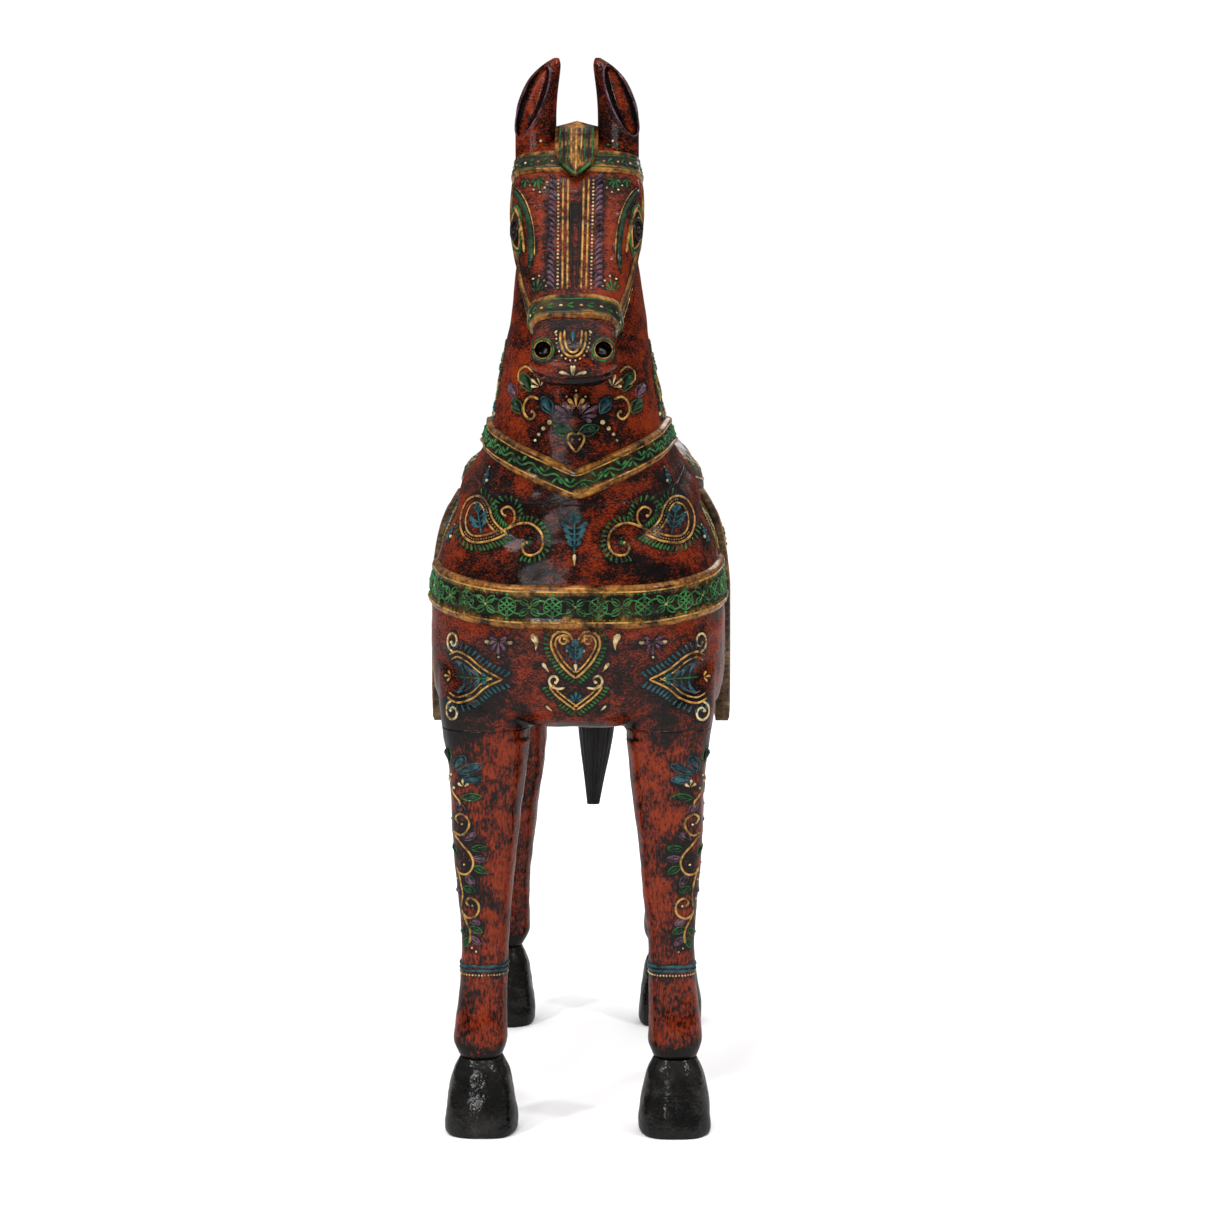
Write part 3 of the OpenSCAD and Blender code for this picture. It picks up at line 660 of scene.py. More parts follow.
# the grooves between the shoulders and the middle of the chest, then the chisel's unevenness
groove = bump_at(np.abs(x) - 42 + (z - B) * 0.02, 11) * front * np.clip((436 - z) / 60, 0, 1) * (z > B - 10)
body.raise_by(-2.4 * groove + 0.5 * waves(body.v, 60, 3) + 0.22 * waves(body.v, 22, 4))
# the belly lies just above the plane that parts the legs from the trunk
x, y, z = body.v.T
in_leg = (np.abs(x) > 36) & ((np.abs(y - FY) < 56) | (np.abs(y - RY + 10) < 66))
body.v[:, 2] = np.where(~in_leg & (z > B - 12), np.maximum(z, B + 0.4), z)
body_tree = body.tree()


# ---------------------------------------------------------------- the head
FACE_TOP = np.array([0, -182, 846.0])
FACE_DOWN = unit([0, -120, -147])
FACE_OUT = unit([0, -147, 120])
NOSTRIL_X, NOSTRIL_Z = 24, 670.5


def eye_frame(side):
    """Centre, outward, lengthwise and crosswise directions of an eye."""
    out = unit([side * 0.90, -0.40, 0.16])
    along = unit(FACE_DOWN - out * np.dot(FACE_DOWN, out))
    return np.array([side * 44, -217, 768.0]), out, along, np.cross(out, along)


balls = []
for side in SIDES:
    centre, out, along, across = eye_frame(side)
    balls.append(ellipsoid(centre - out * 2, (along, across, out), (31, 17, 10)))
head = Skin([loft(HEAD, 120, 8), loft(NECK[5:], 80)] + balls, voxel=1.25, rounds=10)
x, y, z = head.v.T
normal = head.normals()
lift = 0.35 * waves(head.v, 45, 5) + 0.15 * waves(head.v, 14, 6)
down = (head.v - FACE_TOP) @ FACE_DOWN
# shallow grooves beside the flat middle of the face
on_face = (normal @ FACE_OUT > 0.4) * np.clip((down - 50) / 20, 0, 1) * (z > 700)
lift -= 0.9 * bump_at(np.abs(x) - 24, 3.5) * on_face
# the smile, and the chin tucked under it
smile = 645.5 + 8 * (np.abs(x) / 34) ** 2.4
muzzle = np.clip((-286 - y) / 14, 0, 1) * (normal @ FACE_OUT < 0.95)
lift -= 3.6 * bump_at(z - smile, 1.5) * muzzle
lift -= 2.2 * np.clip((smile - 1.5 - z) / 4, 0, 1) * muzzle
lift += 1.0 * bump_at(z - smile - 5, 3.2) * muzzle
head.raise_by(lift)
# the jaw, narrower than the muzzle in front of it
x, y, z = head.v.T
head.v[:, 0] *= 1 - 0.28 * ease((694 - z) / 28) * ease((y + 292) / 18) * ease((-190 - y) / 30)
# nostrils: a round hole with a raised rim
for side in SIDES:
    far = np.hypot(head.v[:, 0] - side * NOSTRIL_X, head.v[:, 2] - NOSTRIL_Z)
    facing = (head.v[:, 1] < -300) * 1.0
    head.v[:, 1] += facing * (9 * np.clip((7.2 - far) / 2.8, 0, 1) ** 0.8 - 1.6 * bump_at(far - 8.6, 2.2))
head_tree = head.tree()


# ---------------------------------------------------------------- drawing on the skins
class Canvas:
    """Carries a flat drawing in millimetres onto skins: ray(u, v) gives starts and directions."""

    def __init__(self, ray, *trees):
        self.ray, self.trees = ray, trees

    def hit(self, uv, side=1):
        """Points and outward normals on the nearest skin. Where a ray misses, both are NaN."""
        uv = np.asarray(uv, float)
        starts, ways = self.ray(uv[:, 0], uv[:, 1])
        flip = np.array([side, 1, 1])
        points, normals = np.full((len(uv), 3), np.nan), np.full((len(uv), 3), np.nan)
        for i, (start, way) in enumerate(zip(starts * flip, ways * flip)):
            best = None
            for tree in self.trees:
                spot, face_normal, _, reach = tree.ray_cast(Vector(start), Vector(way), 900)
                if spot is not None and (best is None or reach < best[2]):
                    best = (spot, face_normal, reach)
            if best:
                points[i] = best[0]
                normals[i] = best[1] if best[1].dot(Vector(way)) < 0 else -best[1]
        return points, normals


def rays(starts, ways):
    starts = np.stack(np.broadcast_arrays(*starts), -1).astype(float)
    ways = np.stack(np.broadcast_arrays(*ways), -1).astype(float)
    return starts, np.broadcast_to(ways, starts.shape)


def from_front(u, v):
    return rays((u, -500, v), (0, 1, 0))


def from_side(u, v):
    """u runs towards the tail and v up, seen from the horse's left."""
    return rays((300, u, v), (-1, 0, 0))


def from_behind(u, v):
    return rays((u, 500, v), (0, -1, 0))


def round_post(cx, cy, radius, turn=0.0, reach=200):
    """u runs round an upright axis, from the front towards the horse's left, and v is the height."""

    def ray(u, v):
        a = np.asarray(u) / radius + math.radians(turn)
        way = (-np.sin(a), np.cos(a))
        return rays((cx - way[0] * reach, cy - way[1] * reach, v), (way[0], way[1], 0 * a))

    return ray


def eye_view(u, v):
    """u along the left eye towards the nose, v across it, upwards."""
    centre, out, along, across = eye_frame(1)
    start = centre + 60 * out + np.asarray(u)[:, None] * along + np.asarray(v)[:, None] * across
    return start, np.broadcast_to(-out, start.shape)


def even(values, rounds):
    """Steadies a grid along both of its directions."""
    v = np.array(values)
    for _ in range(rounds):
        v[1:-1] = (v[:-2] + 2 * v[1:-1] + v[2:]) / 4
        v[:, 1:-1] = (v[:, :-2] + 2 * v[:, 1:-1] + v[:, 2:]) / 4
    return v


def headings(path):
    """At each point of a flat path, the direction along it and the direction to its left."""
    along = np.gradient(path, axis=0)
    along /= np.linalg.norm(along, axis=1, keepdims=True).clip(1e-9)
    return along, np.column_stack([-along[:, 1], along[:, 0]])


def ribbon(canvas, path, across, heights, side=1, sink=1.2):
    """A closed strip on a skin, as (points, faces, share across from 0 to 1). path is the middle line, across
    the offsets from it, heights how far the strip stands out there, and sink how far it reaches in."""
    grid = path[:, None] + headings(path)[1][:, None] * across[None, :, None]
    rows, cols = grid.shape[:2]
    points, normals = canvas.hit(grid.reshape(-1, 2), side)
    points = even(points.reshape(rows, cols, 3), 2)
    normals = even(normals.reshape(rows, cols, 3), 8)
    normals /= np.linalg.norm(normals, axis=2, keepdims=True)
    top = points + normals * heights[:, None]
    base = points - normals * sink
    verts, faces = closed_tube(np.concatenate([top, base[:, ::-1]], 1))
    share = np.linspace(0, 1, cols)
    return verts, faces, np.tile(np.concatenate([share, share[::-1]]), rows)


def band_profile(width, proud, count=15):
    """Offsets and heights across a band: raised rims and a level middle."""
    s = np.linspace(-1, 1, count)
    rim = np.sqrt(np.clip(1 - (np.abs(s) ** 9), 0, 1))
    return s * width / 2, proud * (0.25 + 0.75 * rim) - 0.9 * (np.abs(s) < 0.66)


def spline(points, gap=1.3):
    """A smooth flat curve through the points, with a point every gap millimetres or so."""
    points = np.asarray(points, float)
    fine = smooth_steps(points, 12)
    run = np.concatenate([[0], np.cumsum(np.linalg.norm(np.diff(fine, axis=0), axis=1))])
    at = np.linspace(0, run[-1], max(int(run[-1] / gap), 3) + 1)
    return np.column_stack([np.interp(at, run, fine[:, k]) for k in range(2)])


# ---------------------------------------------------------------- harness
def band_path(reach, height, count=120):
    """A middle line from -reach to reach, at the height that the function gives."""
    u = np.linspace(-reach, reach, count)
    return np.column_stack([u, height(u)])


def band(node, canvas, path, profile, side=1):
    """A gilded band along the path, in place of the node. Returns its tree."""
    verts, faces, share = ribbon(canvas, path, *profile, side)
    piece(f"{node}_gilt", verts, faces, "band", node, across=np.abs(share * 2 - 1))
    return tree_of(verts, faces)


POST_RADIUS = 120
TRUNK_POST = round_post(0, -120, POST_RADIUS)
# the breast band ends at the saddle's front edge, 127 mm beside the post and 75 mm behind it
REACH = POST_RADIUS * (math.pi - math.atan2(127, 75))
breast_path = band_path(REACH, lambda u: 459.5 + 15 * ease((np.abs(u) - 40) / 130), 220)
breast_tree = band("breast_band", Canvas(TRUNK_POST, body_tree), breast_path, band_profile(36, 4))

COLLAR_REACH = 232
NECK_POST = round_post(0, -110, 110)


def collar_height(u):
    """The collar's middle line: a point in front, climbing to the withers."""
    a = np.minimum(np.abs(u) / 110, 1.41)
    return 558 + 62 * np.sqrt(a ** 2 + 0.0009) - 22 * a ** 2


collar_tree = band("neck_collar", Canvas(NECK_POST, body_tree), band_path(COLLAR_REACH, collar_height, 280),
                   band_profile(24, 5))


def head_ring(at, slope, radius):
    """Rays to the middle of the head in a sloping plane; u runs round it and v along the head."""
    level = np.array([0, math.cos(math.radians(slope)), math.sin(math.radians(slope))])
    lengthwise = np.array([0, -level[2], level[1]])

    def ray(u, v):
        a = np.asarray(u) / radius
        way = np.sin(a)[:, None] * np.array([-1.0, 0, 0]) + np.cos(a)[:, None] * level
        middle = np.array([0, *at]) + level * 46 + np.asarray(v)[:, None] * lengthwise
        return middle - way * 160, way

    return ray


BROW_RING = head_ring((-206, 826), -8, 50)
NOSE_RING = head_ring((-295, 704), -25, 33)
brow_tree, nose_tree = (
    band(node, Canvas(ray, head_tree), band_path(reach, np.zeros_like), band_profile(width, 3.2))
    for node, ray, reach, width in (("browband", BROW_RING, 92, 20), ("noseband", NOSE_RING, 76, 25)))

for side, word in NAMED_SIDES:
    path = spline([(-168, 808), (-178, 790), (-205, 756), (-232, 726), (-262, 702)], 3)
    band(f"cheek_strap_{word}", Canvas(from_side, head_tree), path, band_profile(11, 2.2, 9), side)

# the forelock: a keeled shield with a point
u = np.linspace(-1, 1, 17)
foot = 822 - 11 * (1 - np.abs(u))
level = foot + np.linspace(0, 1, 40)[:, None] * (861.5 - 4.5 * np.abs(u) - foot)
brow_line = np.interp(level, (806, 825, 840, 850, 859), (-220, -211, -199, -188, -173))
edge = np.clip((level - foot) / 3, 0, 1) ** 0.5
proud = (3 + 5 * (1 - np.abs(u))) * edge * np.where(np.abs(u) > 0.99, 0.5, 1)
half = 14 + 4 * ease((level - 822) / 16)
sheet = np.stack([u * half, brow_line - proud, level], -1)
backing = np.stack([sheet[..., 0], np.minimum(brow_line + 12, -170), level - 1], -1)
verts, faces = closed_tube(np.concatenate([sheet, backing[:, ::-1]], 1))
share = np.abs(np.concatenate([np.broadcast_to(u, level.shape)] * 2, 1)).ravel()
piece("forelock_gilt", verts, faces, "band", "forelock",
      across=0.55 + 0.25 * bump_at(share, 0.25) + 0.2 * (share > 0.9))
forelock_tree = tree_of(verts, faces)


# ---------------------------------------------------------------- ears
FOOT, TIP = 820, 914
HOLLOW_X, HOLLOW_Z = 37, 878             # the middle of the hollow in the left ear
HOLLOW_HALF, HOLLOW_LEAN = 30, -0.34     # its half height, and how far x moves as z grows


def ear_sections(side):
    rows = ((-190, -156, FOOT, 16.8, 34.8), (-190, -156, 842.5, 17.2, 34.6), (-189, -159, 869, 17, 34.2),
            (-187, -162, 885, 15.2, 31.4), (-184, -165, 898, 12.4, 27), (-181, -169, 908.4, 7.4, 21),
            (-178, -173, TIP, 2.2, 17.2))
    return sections(*((a, z, b, z, half, 0.5, 2.2, 2.1, side * x) for a, b, z, half, x in rows))


ear_trees = []
for side, word in NAMED_SIDES:
    ear = Skin([loft(ear_sections(side), 64, 8)], voxel=0.9, rounds=3)
    x, y, z = ear.v.T
    lean = (z - HOLLOW_Z) * HOLLOW_LEAN + HOLLOW_X
    along = (z - HOLLOW_Z) / HOLLOW_HALF
    width = 9.6 * np.sqrt(np.clip(1 - along ** 2, 0, 1))
    inside = (np.abs(side * x - lean) / width.clip(0.1)).clip(0, 3)
    facing = (ear.normals()[:, 1] < -0.05) * (np.abs(along) < 1)
    scoop = np.clip((1 - inside) / 0.55, 0, 1) ** 0.7 * facing
    ear.v[:, 1] += 8.5 * scoop * np.clip(ear.normals()[:, 1] * -1.6, 0, 1)
    ear.v[:, 1] -= 1.1 * bump_at(inside - 1.15, 0.22) * facing
    ear.smooth(2)
    ear.v[:, 2] = np.minimum(ear.v[:, 2], TIP)
    # Darker all over the ear, with painted shade in a ring just inside the hollow's rim and lighter paint in
    # the hollow's middle; creases get painted shade too.
    piece(f"ear_{word}_carved", ear.v, ear.f, "red", f"ear_{word}",
          stain=0.3 + (1.1 * bump_at(inside - 0.8, 0.22) - 0.5 * ease((0.6 - inside) / 0.3)) * facing,
          crease=np.clip(ear.hollowness() / 0.4, -0.4, 0.4))
    ear_trees.append(ear.tree())


# ---------------------------------------------------------------- hooves
for where, y0, tall in (("front", FY, FRONT_HOOF), ("rear", RY, REAR_HOOF)):
    rows = ((32, 30, 0, 29, 2.6), (34, 31, 5, 31, 2.6), (32, 30, tall * 0.28, 30.6, 2.6),
            (29, 28, tall * 0.55, 28, 2.5), (25, 25, tall * 0.80, 24.4, 2.4), (18, 18, tall, 18, 2.3))
    for side, word in NAMED_SIDES:
        form = sections(*((y0 - a, z, y0 + b, z, half, 0.5, n, n, HOOF * side) for a, b, z, half, n in rows))
        hoof = Skin([loft(form, 72, 6)], voxel=1.3, rounds=3)
        smooth_z = hoof.v[:, 2].copy()
        hoof.raise_by(0.45 * waves(hoof.v, 30, 20 + side) + 0.16 * waves(hoof.v, 11, 30 + side))
        # the sole stays flat on the floor
        hoof.v[:, 2] = np.where(smooth_z < 1.5, smooth_z.clip(0), hoof.v[:, 2].clip(0.02))
        piece(f"hoof_{where}_{word}_lacquered", hoof.v, hoof.f, "hoof", f"hoof_{where}_{word}")


# ---------------------------------------------------------------- tail and mane
TAIL = sections(
    (286, 524, 284, 492, 15, 0.5, 2, 2, 0),
    (304, 530, 296, 490, 17, 0.5, 2, 2, 0),
    (320, 524, 298, 486, 19, 0.5, 2, 2, 1),
    (328, 500, 294, 478, 20, 0.5, 2, 2, 2),
    (331, 460, 291, 456, 22, 0.5, 2, 2, 4),
    (331, 400, 289, 400, 23, 0.5, 2.1, 2.1, 7),
    (328, 340, 288, 340, 22, 0.5, 2.1, 2.1, 8),
    (323, 284, 289, 284, 18, 0.5, 2.1, 2.1, 8),
    (316, 234, 296, 234, 10, 0.5, 2.1, 2.1, 6),
    (312, 210, 300, 210, 6.4, 0.5, 2.2, 2.2, 5),
)
MANE = sections(
    (-186, 846, -178, 856, 13, 0.4),
    (-160, 838, -158, 857, 13.5, 0.4),
    (-134, 822, -120, 846, 14, 0.4),
    (-112, 784, -90, 804, 14.5, 0.4),
    (-92, 744, -69, 757, 15, 0.4),
    (-68, 700, -45, 713, 15, 0.4),
    (-42, 654, -19, 668, 15, 0.4),
    (-22, 612, 2, 630, 14.5, 0.4),
    (-16, 586, 14, 600, 12, 0.4),
)


def combed(rows, sides, steps, locks, depth, slant):
    """A loft with strands of hair cut into it."""
    rings = np.array([ring(s, sides) for s in smooth_steps(rows, steps)])
    middle = rings.mean(1, keepdims=True)
    run = np.linspace(0, 1, len(rings))[:, None]
    a = np.arange(sides) / sides * 2 * math.pi
    cutting = np.abs(np.sin(a * locks / 2 + run * slant + 0.35 * np.sin(run * 23 + a * 2))) ** 0.6
    shrink = depth * (1 - cutting)
    outward = rings - middle
    reach = np.linalg.norm(outward, axis=2, keepdims=True).clip(1e-6)
    return closed_tube(rings - outward / reach * np.minimum(shrink[..., None], reach * 0.3))


piece("tail_carved", *combed(TAIL, 120, 12, locks=22, depth=2.0, slant=4), "black", "tail")
piece("mane_carved", *combed(MANE, 72, 16, locks=10, depth=2.2, slant=60), "black", "mane_crest")


# ---------------------------------------------------------------- saddle
S0, S1 = -44, 138                        # the flaps' front and back
FLAP = 133.5                             # from the middle to a flap's outer face
FLAP_FOOT, FLAP_TOP = 340, 547
SADDLE = sections(
    (S0 - 6, 540, S0 - 6, 604, 62, 0.3, 3, 2.4),
    (S0 + 6, 528, S0 + 6, 614, 92, 0.3, 3, 2.2),
    (S0 + 34, 520, S0 + 34, 602, 108, 0.3, 3, 2.4),
    (46, 520, 46, 592, 112, 0.3, 3, 2.8),
    (100, 520, 100, 600, 110, 0.3, 3, 2.4),
    (S1 - 4, 526, S1 - 4, 620, 98, 0.3, 3, 2.2),
    (S1 + 8, 540, S1 + 8, 610, 66, 0.3, 3, 2.4),
)
seat = Skin([loft(SADDLE, 96, 8)], voxel=2.2, rounds=6)
seat.raise_by(0.5 * waves(seat.v, 40, 40))
verts, faces, _ = cut(seat.v, seat.f, [((0, 0, 546), (0, 0, -1))], {})
piece("saddle_seat_painted", verts, faces, "saddle", "saddle_seat")
seat_tree = seat.tree()

flap_trees = []
for side, word in NAMED_SIDES:
    # a board that lies on the barrel above and hangs free below
    y, z = np.meshgrid(np.linspace(S0, S1, 60), np.linspace(FLAP_FOOT, FLAP_TOP, 70))
    rest, _ = Canvas(from_side, body_tree).hit(np.stack([y, z], -1).reshape(-1, 2), side)
    skin_x = even(np.abs(rest[:, 0]).reshape(y.shape), 6)
    outer = even(np.where(z < 430, FLAP, np.minimum(FLAP, skin_x + 8)), 8).clip(0, FLAP)
    inner = np.minimum(even(np.where(z < 420, FLAP - 12.6, skin_x + 0.4), 3), outer - 6)
    to_edge = np.minimum.reduce([y - S0, S1 - y, z - FLAP_FOOT])
    rounding = 1.6 * np.clip(1 - to_edge / 3.2, 0, 1) ** 2
    out_points = np.stack([side * (outer - rounding), y, z], -1)
    in_points = np.stack([side * inner, y, z], -1)
    verts, faces = closed_tube(np.concatenate([out_points, in_points[:, ::-1]], 1))
    piece(f"saddle_flap_{word}_painted", verts, faces, "saddle", f"saddle_flap_{word}")
    flap_trees.append(tree_of(verts, faces))


# ---------------------------------------------------------------- piped paint
SECTION = np.array([-1, -0.7, 0, 0.7, 1])   # where the points of a bead's upper side lie across it
RING = len(SECTION) + 1                     # those points and one below them
SWELL = 1.15                                # how much wider a bead dries than it is drawn
LONGEST = 2.2                               # a stroke that the skin stretches by more has slipped off it
ROUND = np.linspace(0, 2 * math.pi, 25)


def heading(degrees):
    return np.array([math.cos(math.radians(degrees)), math.sin(math.radians(degrees))])


def length(points):
    return np.linalg.norm(np.diff(points, axis=0), axis=1).sum()


def oval(x, y, wide, tall):
    return np.column_stack([x + wide * np.cos(ROUND), y + tall * np.sin(ROUND)])


class Pen:
    """Pipes rounded strokes of paint onto a skin, in the flat millimetres of a canvas."""

    piped = {}     # rings of the strokes, by region and colour
    marks = []     # where strokes lie, for the dark ground under them

    def __init__(self, region, canvas, sides=SIDES, matrix=np.eye(2), origin=(0, 0)):
        self.region, self.canvas, self.sides = region, canvas, sides
        self.matrix, self.origin = matrix, np.asarray(origin, float)

    def at(self, x, y, turn=0.0, size=1.0, flip=1):
        """A pen for a drawing of its own, placed, turned by degrees, scaled or flipped inside this one."""
        c, s = heading(turn) * size
        matrix = np.array([[c * flip, s * flip], [-s, c]]) @ self.matrix
        return Pen(self.region, self.canvas, self.sides, matrix, np.array([x, y]) @ self.matrix + self.origin)

    def middle(self):
        """The same pen, drawing one side only."""
        return Pen(self.region, self.canvas, (1,), self.matrix, self.origin)

    def stroke(self, colour, path, half, rise=1.0):
        """One closed bead of paint along the path, with half widths given along it."""
        path = np.asarray(path, float) @ self.matrix + self.origin
        half = np.broadcast_to(np.asarray(half, float) * SWELL, len(path))[:, None, None]
        for side in self.sides:
            points, normals = self.canvas.hit(path, side)
            if np.isnan(points).any():
                continue
            for _ in range(3):
                normals[1:-1] = (normals[:-2] + 2 * normals[1:-1] + normals[2:]) / 4
            normals /= np.linalg.norm(normals, axis=1, keepdims=True)
            along = np.gradient(points, axis=0)
            if np.linalg.norm(along, axis=1).sum() > LONGEST * length(path):
                continue
            across = np.cross(normals, along)
            across /= np.linalg.norm(across, axis=1, keepdims=True).clip(1e-9)
            height = half * rise * np.sqrt(1 - SECTION ** 2)[:, None] - 0.12 - 0.006 * half ** 2
            top = points[:, None] + across[:, None] * half * SECTION[:, None] + normals[:, None] * height
            base = points - normals * 0.6
            rings = np.concatenate([top, base[:, None]], 1)
            Pen.piped.setdefault((self.region, colour), []).append(rings)
            Pen.marks.append(points[:: 2 if len(points) > 5 else 3])

    def line(self, colour, points, width=1.8, gap=1.7, closed=False):
        points = np.asarray(points, float)
        if closed:
            points = np.concatenate([points, points[:1]])
        path = spline(points, gap)
        run = np.linspace(0, 1, len(path)) * length(path)
        ends = np.minimum(run, run[-1] - run) / (width * 0.8)
        self.stroke(colour, path, width / 2 * np.clip(ends, 0.1, 1) ** 0.6)

    def dot(self, colour, x, y, size=2.2):
        t = np.array([-1, -0.75, 0, 0.75, 1])
        path = np.column_stack([x + t * size / 2, y + 0 * t])
        self.stroke(colour, path, size / 2 * np.sqrt(1.01 - t ** 2), 1.0)

    def drop(self, colour, tail, head, width=2.4, bend=0.0):
        """A teardrop from its thin tail to its round head."""
        tail, head = np.asarray(tail, float), np.asarray(head, float)
        t = np.array([0, 0.22, 0.48, 0.74, 0.93, 1])[:, None]
        way = head - tail
        side = np.array([-way[1], way[0]]) * bend
        path = tail + way * t + side * 4 * t * (1 - t)
        self.stroke(colour, path, width / 2 * np.array([0.1, 0.38, 0.72, 1, 0.72, 0.12]))

    def leaf(self, colour, base, tip, width, fill="leaf", seed="cream"):
        """An almond outline with a darker middle and a light dot."""
        base, tip = np.asarray(base, float), np.asarray(tip, float)
        way = tip - base
        side = np.array([-way[1], way[0]]) / np.linalg.norm(way) * width / 2
        edge = [base, base + way * 0.3 + side * 0.85, base + way * 0.6 + side, tip,
                base + way * 0.6 - side, base + way * 0.3 - side * 0.85]
        if fill:
            self.drop(fill, base + way * 0.1, base + way * 0.85, width - 1.6)
        self.line(colour, edge, 1.1, 1.9, closed=True)
        if seed:
            self.drop(seed, base + way * 0.25, base + way * 0.55, 1.3)

    def fan(self, colour, x, y, turn, size, count, spread, width, tips=None):
        """Drops that open like a fan round the direction of turn."""
        for k in range(count):
            share = k / (count - 1) - 0.5
            reach = size * (1 - 0.35 * abs(share) * 2)
            way = heading(turn + share * spread)
            spot = np.array([x, y])
            self.drop(colour, spot + way * reach * 0.15, spot + way * reach, width)
            if tips:
                self.dot(tips, *(spot + way * (reach + 2.2)), 1.7)

    def fringe(self, colour, path, size, lean=0.5):
        """A comb of short drops on the left of a path."""
        path, gap = spline(path, 2.9), 1.2
        for p, t, n in zip(path, *headings(path)):
            self.drop(colour, p + n * gap, p + n * (gap + size) + t * lean * size, 2.3)

    def beads(self, colour, path, size=1.5, spacing=3.0, shift=0.0):
        for p in shifted(spline(path, spacing), shift):
            self.dot(colour, *p, size)

    def curl(self, colour, x, y, radius, start, sweep, width=1.8):
        """A spiral that winds in from the given radius; sweep is in degrees, with its sign."""
        t = np.linspace(0, 1, 9)
        a = np.radians(start + sweep * t)
        r = radius * (1 - 0.72 * t)
        self.line(colour, np.column_stack([x + r * np.cos(a), y + r * np.sin(a)]), width, 1.4)
        self.dot(colour, x + r[-1] * math.cos(a[-1]), y + r[-1] * math.sin(a[-1]), width * 1.3)


def shifted(path, distance):
    """A flat path moved to its left."""
    return path + headings(path)[1] * distance


def paisley(pen):
    """A mango shape with its head at the middle of the drawing and its tail curled to the left."""
    outline = spline([(-30, -11), (-16, -17), (-1, -19), (9, -13), (12, 0), (7, 13), (-1, 18), (-8, 17),
                      (-14, 10), (-17, 1), (-23, -6), (-30, -11)], 1.7)
    pen.line("gold", outline, 1.9)
    pen.line("gold", shifted(outline, 5.2)[3:-3], 1.6)
    pen.beads("gold", outline[1:-1], 1.2, 2.4, 2.6)
    lotus(pen.at(-3, 11, -12, 0.86), 3, False)
    scroll = [(-24, -10), (-34, -5), (-43, -2), (-51, -3), (-58, -9), (-60, -17), (-58, -24), (-52, -28),
              (-45, -27), (-43, -21), (-46, -17)]
    pen.line("gold", scroll, 2.0)
    pen.dot("gold", -47, -18, 2.8)
    pen.line("gold", [(-29, -8), (-35, -2), (-36, 6), (-31, 11), (-25, 8), (-27, 3)], 1.9)
    pen.dot("gold", -28, 3.5, 2.6)
    pen.fringe("green", outline[::-1], 5.6)
    pen.fringe("green", [(-44, -27), (-52, -28), (-58, -24), (-60, -17), (-58, -9), (-51, -3), (-40, -3)],
               5.4, -0.3)
    pen.fringe("green", [(-53, -14), (-52, -20), (-46, -22)], 3.6, 0.1)
    pen.fringe("green", [(-38, 3), (-35, 12), (-27, 14), (-20, 8)], 5.2)


def lotus(pen, rows=4, hanging=True):
    """A hanging teal flower: pairs of leaves down a stem, with a cream drop under it."""
    for k in range(rows):
        foot, wide = -8 - 5 * k, 10.5 - 1.9 * k
        for side in SIDES:
            pen.drop("teal", (0, foot - 3), (side * wide, foot + 3), 4.0, -0.16 * side)
            pen.drop("shade", (side * 1.5, foot - 0.4), (side * wide * 0.8, foot + 3.4), 0.9, -0.16 * side)
    pen.fan("teal", 0, -8, 90, 10, 5, 90, 3.2)
    pen.line("teal", [(0, -4), (0, -12 - 5 * rows)], 1.6)
    if hanging:
        pen.drop("cream", (0, -22 - 5 * rows), (0, -12 - 5 * rows), 3.0)


def heart(pen):
    """Half of a heart on a stem, drawn on both sides of the middle of the chest."""
    edge = spline([(0, 400), (8, 407), (15, 416), (20, 427), (19, 435), (13, 439.5), (6, 438), (2, 432)], 1.6)
    pen.line("gold", edge, 1.9)
    pen.line("gold", shifted(edge, 3.6)[2:], 1.5)
    pen.fringe("green", edge[:-5][::-1], 5.2, -0.3)
    pen.curl("gold", 9.5, 432, 5, 150, -420, 1.7)
    pen.drop("cream", (3, 424), (8, 423), 2.6)
    pen.line("cream", [(9, 392), (15, 391), (20, 393), (22, 398), (19, 402), (15, 400), (16, 396)], 1.9)
    pen.dot("cream", 16.5, 396.5, 2.8)
    lower = spline([(0, 372), (9, 379), (17, 386), (22, 393)], 1.6)
    pen.line("gold", lower, 1.8)
    pen.line("gold", shifted(lower, 3.4), 1.4)
    pen.fringe("green", lower[::-1], 4.8, -0.3)
    pen.drop("cream", (33, 424), (36.5, 437), 5.4, 0.15)
    pen.drop("cream", (22, 405), (27.5, 413), 3.0)
    pen.drop("cream", (20, 371), (25, 376), 2.0)


def sprig(pen, colour="purple"):
    pen.fan(colour, 0, 0, 90, 12, 7, 220, 3.4)
    for way, bend in ((heading(-10), 0.2), (heading(190), -0.2)):
        pen.drop("cream", 4 * way, 12 * way + (0, 3), 3.0, bend)
    pen.dot("cream", 0, 14, 2.0)


def medallion(pen):
    """A pointed leaf shape on its side, with its point towards the left of the drawing."""
    upper = spline([(-26, 0), (-14, 6), (-4, 13), (6, 16), (15, 13)], 1.7)
    lower = upper * (1, -1)
    for edge, turn in ((upper, 1), (lower, -1)):
        pen.line("gold", edge, 1.7)
        pen.line("gold", shifted(edge, -3.4 * turn)[3:], 1.3)
        pen.line("purple", shifted(edge, -6.4 * turn)[7:-2], 1.3)
        pen.fringe("teal", edge if turn > 0 else edge[::-1], 5.2, -0.3 * turn)
    for x in (-14, -8, -2, 4):
        for side in SIDES:
            pen.drop("teal", (x - 3, 0), (x + 2, side * (8.5 + x * 0.42)), 3.6, 0.14 * side)
            pen.dot("green", x - 3, side * (10 + x * 0.5), 1.5)
    pen.line("green", [(-19, 0), (-6, 0), (9, 0)], 1.4)
    pen.fan("gold", 12, 0, 0, 7, 3, 90, 2.2)
    pen.curl("cream", 10, 22, 7, -90, 430, 1.9)
    pen.curl("cream", 10, -22, 7, 90, -430, 1.9)


